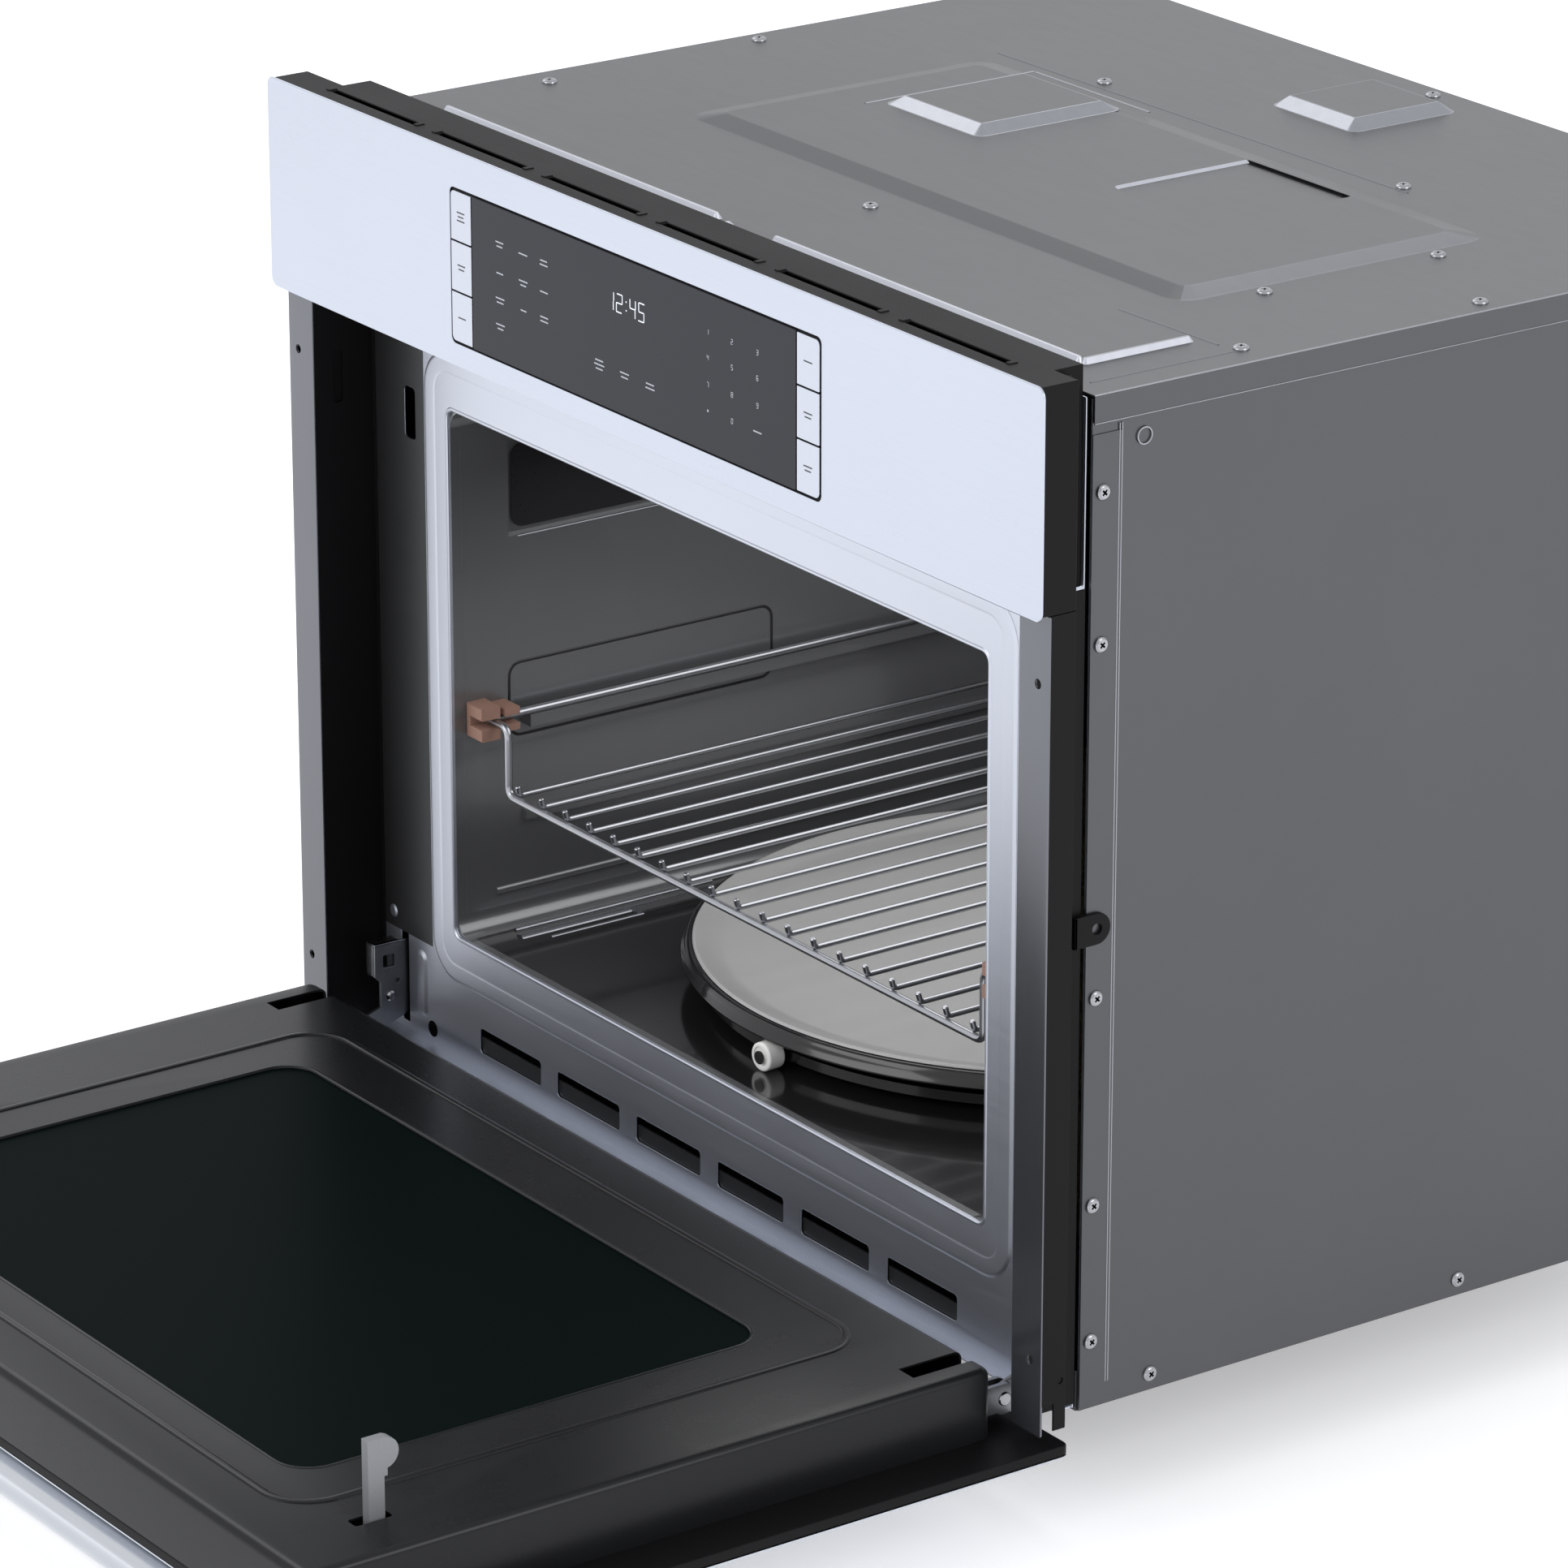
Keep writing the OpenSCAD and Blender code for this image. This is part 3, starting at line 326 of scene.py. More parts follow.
def inset(loop, d):
    """Anticlockwise loop moved inwards by d."""
    out = []
    count = len(loop)
    for i in range(count):
        (x0, y0), (x1, y1), (x2, y2) = loop[i - 1], loop[i], loop[(i + 1) % count]
        ax, ay, bx, by = x1 - x0, y1 - y0, x2 - x1, y2 - y1
        la, lb = math.hypot(ax, ay) or 1, math.hypot(bx, by) or 1
        nax, nay, nbx, nby = -ay / la, ax / la, -by / lb, bx / lb
        k = max(1 + nax * nbx + nay * nby, 0.2)
        out.append((x1 + d * (nax + nbx) / k, y1 + d * (nay + nby) / k))
    return out


def band(a, b, n):
    """Quads between two rings of n points, whose first points are numbers a and b."""
    return [[a + i, a + (i + 1) % n, b + (i + 1) % n, b + i] for i in range(n)]


def oval(centre, side, rise, a, b, n):
    """Points of an oval in space, a wide along side and b along rise."""
    turns = [math.tau * k / n for k in range(n)]
    return [centre + side * a * math.cos(t) + rise * b * math.sin(t) for t in turns]


def flat_vectors(loop):
    return [Vector((p[0], p[1], 0)) for p in loop]


def level(u, v, w):
    """Outline in XY, thickness along Z."""
    return (u, v, w)


def upright(u, v, w):
    """Outline in XZ, thickness along Y."""
    return (u, w, v)


def sideways(u, v, w):
    """Outline in YZ, thickness along X."""
    return (w, u, v)


# ------------------------------------------------------------------ solid shapes

class Shape:
    """Closed shells collected for one piece, in millimetres, with a material number on each face."""

    def __init__(self):
        self.verts = []
        self.faces = []
        self.marks = []

    def add(self, verts, faces, mark=0):
        start = len(self.verts)
        self.verts += [tuple(v) for v in verts]
        self.faces += [[start + i for i in f] for f in faces]
        self.marks += [mark] * len(faces)
        return self

    def skin(self, rings, mark=0, closed=False, caps=True):
        """Rings of equal length joined by quads."""
        n = len(rings[0])
        verts = [p for ring in rings for p in ring]
        faces = []
        last = len(rings) if closed else len(rings) - 1
        for k in range(last):
            faces += band(k * n, (k + 1) % len(rings) * n, n)
        if caps and not closed:
            faces.append(list(range(n))[::-1])
            faces.append([(len(rings) - 1) * n + i for i in range(n)])
        return self.add(verts, faces, mark)

    def cut(self, low, high):
        """Take a box out of the shells collected so far, which all get the first material."""
        block = Shape().box(low, high, 0.05)
        made = []
        for part in (self, block):
            mesh = bpy.data.meshes.new("cut")
            mesh.from_pydata(part.verts, [], part.faces)
            work = bmesh.new()
            work.from_mesh(mesh)
            bmesh.ops.recalc_face_normals(work, faces=work.faces)
            work.to_mesh(mesh)
            work.free()
            made.append(bpy.data.objects.new("cut", mesh))
            scene.collection.objects.link(made[-1])
        step = made[0].modifiers.new("cut", "BOOLEAN")
        step.operation = "DIFFERENCE"
        step.solver = "EXACT"
        step.object = made[1]
        result = made[0].evaluated_get(bpy.context.evaluated_depsgraph_get()).to_mesh()
        self.verts = [tuple(v.co) for v in result.vertices]
        self.faces = [list(p.vertices) for p in result.polygons]
        self.marks = [0] * len(self.faces)
        for obj in made:
            mesh = obj.data
            bpy.data.objects.remove(obj)
            bpy.data.meshes.remove(mesh)

    def mark_facing(self, way, mark, count):
        """Give another material to those of the last count faces that lean towards a level direction."""
        for k in range(len(self.faces) - count, len(self.faces)):
            a, b, c = (Vector(self.verts[i]) for i in self.faces[k][:3])
            normal = (b - a).cross(c - a).normalized()
            lean = normal.x * way[0] + normal.y * way[1]
            across = abs(normal.x * way[1] - normal.y * way[0])
            if lean > across:
                self.marks[k] = mark

    def plate(self, outer, holes, w0, w1, place=level, bevel=0.3, mark=0, steps=2):
        """Flat outline with holes, given thickness, with rounded rims."""
        bevel = min(bevel, (w1 - w0) / 2 - 0.01)
        loops = [(outer, 1)] + [(h, -1) for h in holes]
        turns = [math.pi / 2 * k / steps for k in range(steps + 1)]
        sections = [(bevel * (1 - math.sin(t)), w0 + bevel * (1 - math.cos(t))) for t in turns]
        sections += [(d, w0 + w1 - w) for d, w in reversed(sections)]
        verts, faces, first, last = [], [], [], []
        for loop, sign in loops:
            n = len(loop)
            base = len(verts)
            for d, w in sections:
                verts += [place(u, v, w) for u, v in inset(loop, d * sign)]
            for k in range(len(sections) - 1):
                faces += band(base + k * n, base + (k + 1) * n, n)
            first.append([base + i for i in range(n)])
            last.append([base + (len(sections) - 1) * n + i for i in range(n)])
        for loop_ids in (first, last):
            flat = [i for ids in loop_ids for i in ids]
            edge = sections[0][0]
            polys = [flat_vectors(inset(loop, edge * sign)) for loop, sign in loops]
            if len(polys) == 1:
                faces.append(flat)
            else:
                faces += [[flat[i] for i in t] for t in tessellate_polygon(polys)]
        return self.add(verts, faces, mark)

    def box(self, low, high, bevel=0.3, mark=0):
        """Box with rounded edges."""
        lo, hi = [min(a, b) for a, b in zip(low, high)], [max(a, b) for a, b in zip(low, high)]
        b = min(bevel, *[(h - l) / 2.2 for l, h in zip(lo, hi)])
        w, h = hi[0] - lo[0], hi[1] - lo[1]
        outline = rounded(w, h, b, (lo[0] + hi[0]) / 2, (lo[1] + hi[1]) / 2, n=2)
        return self.plate(outline, [], lo[2], hi[2], level, b, mark)

    def sweep(self, path, half_w, half_h=None, closed=False, up=(0, 0, 1), n=12, mark=0):
        """Round or oval section carried along a path; half_w lies across the path, half_h along up."""
        half_h = half_w if half_h is None else half_h
        points = [Vector(p) for p in path]
        up = Vector(up)
        rings = []
        count = len(points)
        for i, p in enumerate(points):
            before = points[i - 1] if (i or closed) else p
            after = points[(i + 1) % count] if (i + 1 < count or closed) else p
            along = (after - p).normalized() + (p - before).normalized()
            along.normalize()
            side = along.cross(up)
            if side.length < 1e-6:
                side = along.cross(Vector((1, 0, 0)))
            side.normalize()
            rise = side.cross(along)
            rings.append(oval(p, side, rise, half_w, half_h, n))
        return self.skin(rings, mark, closed)

    def tube(self, path, r, n=12, mark=0):
        """Round wire along a path in space, carried without twisting, with rounded ends."""
        points = [Vector(p) for p in path]
        count = len(points)
        rings = []
        side = None
        for i, p in enumerate(points):
            before, after = points[max(i - 1, 0)], points[min(i + 1, count - 1)]
            along = (after - before).normalized()
            if side is None:
                side = along.cross(Vector((0.3, 0.2, 1)).normalized()).normalized()
            side = (side - along * side.dot(along)).normalized()
            rise = along.cross(side)
            ring = [side * math.cos(math.tau * k / n) + rise * math.sin(math.tau * k / n) for k in range(n)]
            if i == 0:
                rings.append([p + c * r * 0.72 for c in ring])
                rings.append([p + along * r * 0.3 + c * r for c in ring])
            elif i == count - 1:
                rings.append([p - along * r * 0.3 + c * r for c in ring])
                rings.append([p + c * r * 0.72 for c in ring])
            else:
                rings.append([p + c * r for c in ring])
        return self.skin(rings, mark)

    def lathe(self, profile, centre, axis=(0, 0, 1), n=48, mark=0, round_trip=False):
        """Profile of (radius, height) turned about an axis through centre."""
        axis = Vector(axis).normalized()
        side = axis.orthogonal().normalized()
        rise = axis.cross(side)
        centre = Vector(centre)
        rings = []
        for r, h in profile:
            r = max(r, 0.002)
            rings.append(oval(centre + axis * h, side, rise, r, r, n))
        return self.skin(rings, mark, closed=round_trip)

    def pad(self, w, h, r, centre, height, slope, place=level, top=0, side=1, foot=0.6):
        """Field pressed out of a sheet: small rounded foot, flat sloping sides and small rounded rim."""
        cx, cy, base = centre
        bend = ((0, 0), (0.05, 0.008), (0.1, 0.045), (0.9, 0.955), (0.95, 0.992), (1, 1))

        def ring(d, z):
            return [place(u, v, z) for u, v in rounded(w - 2 * d, h - 2 * d, max(r - d, 0.8), cx, cy)]

        lift = [ring(0, base - foot)] + [ring(slope * t, base + height * rise) for t, rise in bend]
        n = len(lift[0])
        self.skin(lift, side, caps=False)
        self.add(lift[0], [list(range(n))[::-1]], side)
        self.add(lift[-1], [list(range(n))], top)

    def mirrored(self):
        """This shape and its mirror image in X."""
        both = Shape()
        both.verts = self.verts + [(-x, y, z) for x, y, z in self.verts]
        shift = len(self.verts)
        both.faces = self.faces + [[shift + i for i in reversed(f)] for f in self.faces]
        both.marks = self.marks * 2
        return both

    def flipped(self):
        """The mirror image in X alone."""
        other = Shape()
        other.verts = [(-x, y, z) for x, y, z in self.verts]
        other.faces = [list(reversed(f)) for f in self.faces]
        other.marks = list(self.marks)
        return other


def settle(mesh, angle):
    """Outward normals on every shell, smooth shading broken at sharp edges."""
    work = bmesh.new()
    work.from_mesh(mesh)
    bmesh.ops.recalc_face_normals(work, faces=work.faces)
    work.to_mesh(mesh)
    work.free()
    mesh.shade_smooth()
    mesh.set_sharp_from_angle(angle=math.radians(angle))


def piece(name, shape, body, finishes, replaces=(), angle=38, weighted=True):
    """One visible piece from a Shape, riding on a CAD body."""
    mesh = bpy.data.meshes.new(name)
    mesh.from_pydata([[c * MM for c in v] for v in shape.verts], [], shape.faces)
    for f in finishes:
        mesh.materials.append(MATERIALS[f])
    mesh.polygons.foreach_set("material_index", shape.marks)
    settle(mesh, angle)
    obj = bpy.data.objects.new(name, mesh)
    scene.collection.objects.link(obj)
    if weighted:
        even = obj.modifiers.new("even_normals", "WEIGHTED_NORMAL")
        even.keep_sharp = True
    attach(obj, body)
    if replaces:
        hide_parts(*replaces)


def softened(name, node, body, finish_name, width=0.5):
    """A CAD node's own shape with its edges rounded off, in place of the node."""
    mesh = NODES[node].data.copy()
    mesh.name = name
    work = bmesh.new()
    work.from_mesh(mesh)
    bmesh.ops.remove_doubles(work, verts=work.verts, dist=0.01 * MM)
    bmesh.ops.dissolve_limit(work, angle_limit=math.radians(1.5), verts=work.verts, edges=work.edges,
                             delimit={"NORMAL"})
    work.to_mesh(mesh)
    work.free()
    for attribute in ("custom_normal", "sharp_face", "sharp_edge"):
        if attribute in mesh.attributes:
            mesh.attributes.remove(mesh.attributes[attribute])
    mesh.materials.clear()
    mesh.materials.append(MATERIALS[finish_name])
    mesh.polygons.foreach_set("material_index", [0] * len(mesh.polygons))
    settle(mesh, 38)
    obj = bpy.data.objects.new(name, mesh)
    scene.collection.objects.link(obj)
    rim = obj.modifiers.new("rounded_edges", "BEVEL")
    rim.limit_method = "ANGLE"
    rim.angle_limit = math.radians(40)
    rim.width = width * MM
    rim.segments = 2
    rim.harden_normals = True
    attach(obj, body)
    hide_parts(node)


# ------------------------------------------------------------------ case

def screw(shape, at, axis, r=4.6):
    """Pan head screw with a cross recess; its seat is at a point, its head along axis."""
    axis = Vector(axis)
    side = axis.orthogonal().normalized()
    rise = axis.cross(side)
    at = Vector(at)

    def place(u, v, w):
        return at + side * u + rise * v + axis * w

    crown = r * 0.7
    shape.lathe([(r, 0), (r, 0.5), (r * 0.93, 1.2), (r * 0.76, 1.75), (crown, 1.8), (crown, 0.2), (0.1, 0.2)],
                at, axis, 24)
    shape.plate(circle(crown + 0.05, n=24), [cross(r * 0.42, 0.55)], 0.9, 1.95, place, 0.12)
    # black disc under the cross recess: painted shade inside it
    shape.plate(circle(r * 0.69, n=24), [], 0.25, 0.95, place, 0.05, mark=1)


def build_top_cover():
    lo, hi = corners("top_cover")
    skin = Shape()
    front, back = lo.y, hi.y
    mid = (front + back) / 2
    top = TOP_Z
    field_w, field_l, field_at = 470, 220, (12, -20)
    field_h, field_slope = 3.0, 17
    sunk = rounded(94, 100, 5, 98, 25)
    # sheet with a rolled front edge, and side laps folded down over the panels
    skin.plate(rounded(hi.x - lo.x - 0.4, back - front, 1.2, 0, mid), [sunk], top - 1.2, top, level, 0.5)
    for s in (-1, 1):
        skin.box((s * (hi.x - 1.0), front, top - 16), (s * hi.x, back, top), 0.45)
        # stamped ring and lap edges in the lighter finish: painted highlights
        skin.lathe([(5, 0), (5, 0.35), (4.3, 0.35), (4.3, 0)], (s * (hi.x - 0.38), front + 42, top - 8),
                   (s, 0, 0), 32, round_trip=True, mark=2)
        skin.sweep([(s * (hi.x - 0.1), y, top - 15.6) for y in (front, back)], 0.35, 0.5, up=(1, 0, 0),
                   mark=2)
        skin.sweep([(s * (hi.x - 0.6), y, top - 0.3) for y in (front, back)], 0.6, 0.45, mark=2)
    # broad field with sloping sides, open over the sunken box
    bend = ((0, -0.6), (0, 0), (0.06, 0.012), (0.12, 0.06), (0.9, 0.95), (1, 1))
    rings = []
    for t, rise in bend:
        d = field_slope * t
        rings.append([(x, y, top + field_h * rise)
                      for x, y in rounded(field_w - 2 * d, field_l - 2 * d, 16 - 0.6 * d, *field_at, n=8)])
    skin.skin(rings, 0, caps=False)
    # sloping sides facing +x take the lighter finish: painted light on the lit side
    skin.mark_facing((1, 0), 1, len(rings[0]) * (len(rings) - 1))
    rim = rings[-1]
    flat = rim + [(x, y, top + field_h) for x, y in sunk]
    skin.add(flat, tessellate_polygon([flat_vectors(rim), flat_vectors(sunk)]))
    # sunken box: its walls and floor
    low = top + field_h - 1.5
    walls = [[(x, y, top + field_h) for x, y in sunk], [(x, y, low + 0.2) for x, y in inset(sunk, 1.4)],
             [(x, y, low) for x, y in inset(sunk, 2.0)]]
    skin.skin(walls, 0, caps=False)
    # walls facing +x take the near-white painted highlight, walls facing -y the lighter painted-light finish
    skin.mark_facing((1, 0), 3, len(sunk) * 2)
    skin.mark_facing((0, -1), 1, len(sunk) * 2)
    skin.add(walls[-1], [list(range(len(sunk)))])
    # raised boxes, their sloping sides in the lighter finish that paints their highlights
    box_x, box_y, box_z = -122, 28, top + field_h
    skin.pad(94, 106, 7, (box_x, box_y, box_z), 5.0, 10, side=2)
    skin.pad(78, 80, 7, (-5, 205, top), 6, 9, side=2)
    # creases beside and behind the larger box, and across the sheet, in lighter finishes that paint their
    # highlights
    skin.sweep([(box_x - 52, box_y + d, box_z) for d in (-62, 62)], 0.9, 0.35, mark=2)
    skin.sweep([(box_x + d, box_y + 62, box_z) for d in (-50, 60)], 0.9, 0.35, mark=2)
    skin.sweep([(-230, 105, top), (150, 110, top)], 0.7, 0.3, mark=1)
    # front lip, broken in the middle, and the bead that carries it round the right corner, painted near white
    # as highlights
    for x, w in ((-172, 282), (162, 282)):
        skin.pad(w, 6.4, 3, (x, front + 29, top), 3.4, 2.4, top=3, side=3)
    skin.pad(6.4, 74, 3, (303, front + 65, top), 3, 2.4, top=2, side=3)
    skin.pad(6, 6, 2.6, (-20, front + 27, top), 1.6, 2, top=3, side=3)
    skin.sweep([(236, front + 105, top), (318, front + 108, top)], 0.7, 0.3, mark=1)
    skin.sweep([(332, front + 12, top), (332, front + 118, top)], 0.6, 0.3, mark=1)
    piece("top_cover_sheet", skin, "case", ["case_sheet", "case_slope_lit", "case_edge_highlight", "lip_highlight"],
          ["top_cover"], angle=30)


def build_case_screws():
    heads = Shape()
    spots = [(s * x, y) for s in (-1, 1) for x, y in ((338, 5), (330, -153), (139, 116))]
    for x, y in spots + [(-3, -154), (-3, 256), (256, 44), (256, -78)]:
        screw(heads, (x, y, TOP_Z), (0, 0, 1))
    sides = [(FACE_Y + 8, z, 350.7) for z in (40.5, 120.8, 241.4, 441.7, 526)]
    sides += [(FACE_Y + 50, 10, 350.0), (1.5, 10, 350.0)]
    for s in (-1, 1):
        for y, z, x in sides:
            screw(heads, (s * x, y, z), (s, 0, 0))
    piece("case_screw_heads", heads, "case", ["screw_zinc", "hole_shade_black"], ["case_screws"])


def build_side_lines():
    """Folded front edge and stamped rings of the side panels, in a lighter finish that paints their
    highlights.
    """
    lo, hi = corners("side_panel_right")
    lines = Shape()
    x = hi.x
    for y in (lo.y + 17.5, lo.y + 19.2):
        lines.sweep([(x, y, z) for z in (14, 562)], 0.35, 0.25, up=(1, 0, 0), mark=1)
    lines.lathe([(5, 0), (5, 0.4), (4.3, 0.4), (4.3, 0)], (x - 0.05, lo.y + 34, 552), (1, 0, 0), 32,
                round_trip=True, mark=1)
    piece("side_panel_lines", lines.mirrored(), "case", ["case_sheet", "case_edge_highlight"])


def build_face_frame():
    lo, hi = corners("face_frame")
    face, y0 = FACE_Y, FRAME_Y
    half = hi.x
    mid_z = CAVITY_FLOOR + CAVITY_H / 2
    holes = [rounded(CAVITY_W, CAVITY_H, 6, 0, mid_z)]
    holes += [rounded(66, 16, 2.6, x, VENT_Z) for x in VENTS]
    for s in (-1, 1):
        holes.append(rounded(12, 32, 3, s * HOOK_X, HOOK_SLOT_Z))
        holes.append(rounded(8, 60, 1, s * HINGE_X, 38))
    sheet = Shape()
    sheet.plate(rounded(2 * half, hi.z - lo.z, 1, 0, (lo.z + hi.z) / 2), holes, y0, face, upright, 0.5)
    # border pressed forward round the opening, its rim, and the groove inside it
    border = rounded(584, 398, 26, 0, 250, n=10)
    rings = [[upright(u, v, y0 + 0.5) for u, v in border]]
    for d, rise in ((0.4, 0.15), (2.2, 1.0), (3.0, 1.12), (4.2, 1.05), (11, 1.05), (11.8, 0.75), (13, 0.75)):
        rings.append([upright(u, v, y0 - rise) for u, v in inset(border, d)])
    sheet.skin(rings, caps=False)
    inner = inset(border, 13)
    lip = rounded(CAVITY_W + 5, CAVITY_H + 5, 8, 0, mid_z)
    points = [upright(u, v, y0 - 0.75) for u, v in inner + lip]
    sheet.add(points, tessellate_polygon([flat_vectors(inner), flat_vectors(lip)]))
    edge = [[upright(u, v, y0 - 0.75) for u, v in lip]]
    for d, out in ((0.6, 1.2), (1.7, 1.3), (2.4, 0.7), (2.5, -8)):
        edge.append([upright(u, v, y0 - out) for u, v in inset(lip, d)])
    sheet.skin(edge, caps=False)
    # stiffening line along the foot, painted near white as a highlight
    sheet.sweep([(x, y0 - 11.0, 2.6) for x in (-322, 160)], 0.9, 1.0, up=(0, 1, 0), mark=1)
    # flanges pressed inwards round the six vents, painted black as the shade inside the vents
    for x in VENTS:
        sheet.plate(rounded(67.6, 17.6, 3.2, x, VENT_Z), [rounded(65.8, 15.8, 2.5, x, VENT_Z)], face - 0.1,
                    face + 6, upright, 0.2, mark=2)
    # darker strips between the raised border and the side trims: painted shade where the frame reflects the
    # dark trims
    strip_x = 292.5
    for s in (-1, 1):
        strip = rounded(half - strip_x, 400, 0.6, s * (half + strip_x) / 2, 266)
        cuts = [rounded(12.2, 32.2, 3, s * HOOK_X, HOOK_SLOT_Z)]
        sheet.plate(strip, cuts, y0 - 0.1, y0 + 0.3, upright, 0.04, mark=3)
    # black sheet behind the vents, painted shade in place of the dark inside of the vents, and the flange
    # folded forward along the foot
    sheet.plate(rounded(524, 30, 2, 0, 21), [], -261.9, -261.4, upright, 0.1, mark=2)
    sheet.box((-half + 1, y0 - 11.2, 1.6), (half - 1, y0 + 0.2, 2.6), 0.3)
    # gussets pressed in beside the hinges, and a small drain hole, a black disc of painted shade
    def forward(u, v, w):
        """Outline in XZ, height towards the room."""
        return (u, -w, v)

    for s in (-1, 1):
        sheet.pad(12, 44, 5.8, (s * 305, 38, -y0), 1.0, 3, place=forward, side=0, foot=0.3)
        sheet.pad(9, 9, 4.4, (s * 336, 76, -y0), 0.8, 2, place=forward, side=0, foot=0.3)
    sheet.plate(circle(5.2, -294, 12, 20), [], y0 - 0.03, y0 + 0.3, upright, 0.01, mark=2)
    piece("face_frame_sheet", sheet, "case", ["frame_satin", "lip_highlight", "hole_shade_black", "frame_side_shade"],
          ["face_frame"], angle=30)


def build_hinge_brackets():
    face = FACE_Y
    arm = Shape()
    x0, x1 = HINGE_X - 1.4, HINGE_X + 1.4
    outline = [(PIN_Y - 5, PIN_Z - 3), (PIN_Y, PIN_Z - 7), (PIN_Y + 8, PIN_Z - 5), (face - 4, 12),
               (face + 24, 30), (face + 24, 60), (face - 4, 62), (face - 24, 62), (face - 24, 41),
               (face - 20, 37), (face - 20, 21), (PIN_Y - 5, PIN_Z + 5)]
    holes = [rounded(8, 8, 0.8, face - 14, 50), circle(1.6, face - 8, 36, 14)]
    arm.plate(outline, holes, x0, x1, sideways, 0.45)
    # front flange folded from the plate, in the brighter finish as a painted highlight on its edge
    arm.box((x1 - 0.2, face - 24.2, 41), (x1 + 7, face - 22.8, 62), 0.4, mark=1)
    arm.box((x0, face - 24.2, 60.6), (x1 + 7, face - 6, 62), 0.4, mark=1)
    # rivet heads on both faces, and the hinge pin
    for x, way in ((x0, -1), (x1, 1)):
        arm.lathe([(0, 0), (3.4, 0), (3.4, 0.8), (2.4, 1.8), (0, 2)], (x, face - 13, 27), (way, 0, 0), 20,
                  mark=1)
    arm.lathe([(0, -6.5), (3.4, -6.5), (4, -6), (4, 6), (3.4, 6.5), (0, 6.5)], (HINGE_X, PIN_Y, PIN_Z),
              (1, 0, 0), 28, mark=1)
    piece("hinge_brackets", arm.mirrored(), "case", ["zinc", "screw_zinc"], ["hinge_arms"])


def build_trims():
    lo, hi = corners("side_trim_right")
    front = lo.y
    trim = Shape()
    x0, x1 = lo.x, hi.x
    z0, z1 = lo.z, hi.z
    screws = [circle(2.6, x1 - 10, z, 20) for z in (48, 434)]
    mid = (x0 + x1) / 2
    outer_back = -294.2
    # grey front strip, outer return and inner web
    trim.plate(rounded(x1 - x0, z1 - z0, 1.2, mid, (z0 + z1) / 2), screws, front, front + 1.5, upright, 0.5,
               mark=1)
    outer = [(front + 0.5, z0 + 18), (front + 9, z0 + 18), (front + 9, z0 + 2), (outer_back, z0 + 2),
             (outer_back, z1), (front + 0.5, z1)]
    trim.plate(outer, [circle(2, outer_back - 4, 36, 16)], x1 - 1.5, x1, sideways, 0.4)
    web = rectangle(FRAME_Y - front - 0.5, z1 - z0, (front + 0.5 + FRAME_Y) / 2, (z0 + z1) / 2)
    trim.plate(web, [rounded(7, 32, 2, front + 17.5, 418)], x0, x0 + 1.5, sideways, 0.3)
    trim.box((x0 + 1.6, front + 8, 396), (x0 + 3, front + 27, 440), 0.3)
    trim.box((x0 - 2.4, -270.6, z0 + 1), (x0 + 0.4, -269.0, z1 - 1), 0.3)
    # eyelet lapped over the side panel
    eye_y, eye_z, eye_r = -261, 282, 9
    low, high, start = eye_z - eye_r, eye_z + eye_r, eye_y - 15
    turn = [-math.pi / 2 + math.pi * k / 12 for k in range(1, 12)]
    tab = [(start, low), (eye_y, low)]
    tab += [(eye_y + eye_r * math.cos(a), eye_z + eye_r * math.sin(a)) for a in turn]
    tab += [(eye_y, high), (start, high)]
    trim.plate(tab, [circle(3.2, eye_y, eye_z, 16)], 350.9, 352.9, sideways, 0.4)
    trim.box((x0 + 0.2, start, low), (352.9, start + 2, high), 0.4)
    for side, strip in (("right", trim), ("left", trim.flipped())):
        piece(f"side_trim_{side}_strip", strip, "case", ["trim_black", "trim_grey"],
              [f"side_trim_{side}"])


# ------------------------------------------------------------------ control panel

SEGMENTS = {"0": "abcdef", "1": "bc", "2": "abged", "3": "abgcd", "4": "fgbc", "5": "afgcd", "6": "afgedc",
            "7": "abc", "8": "abcdefg", "9": "abcdfg"}


def digit(shape, char, cx, cz, w, h, t, y0, y1, mark=0):
    """Seven-segment digit in the XZ plane."""
    a, b = w / 2, h / 2
    bars = {"a": (0, b, w, t), "g": (0, 0, w, t), "d": (0, -b, w, t), "f": (-a, b / 2, t, b),
            "b": (a, b / 2, t, b), "e": (-a, -b / 2, t, b), "c": (a, -b / 2, t, b)}
    for s in SEGMENTS[char]:
        x, z, bar_w, bar_h = bars[s]
        lean = z * 0.08
        shape.plate(rounded(max(bar_w, t), max(bar_h, t), t / 2.2, cx + x + lean, cz + z, n=2), [], y0, y1,
                    upright, 0.01, mark)


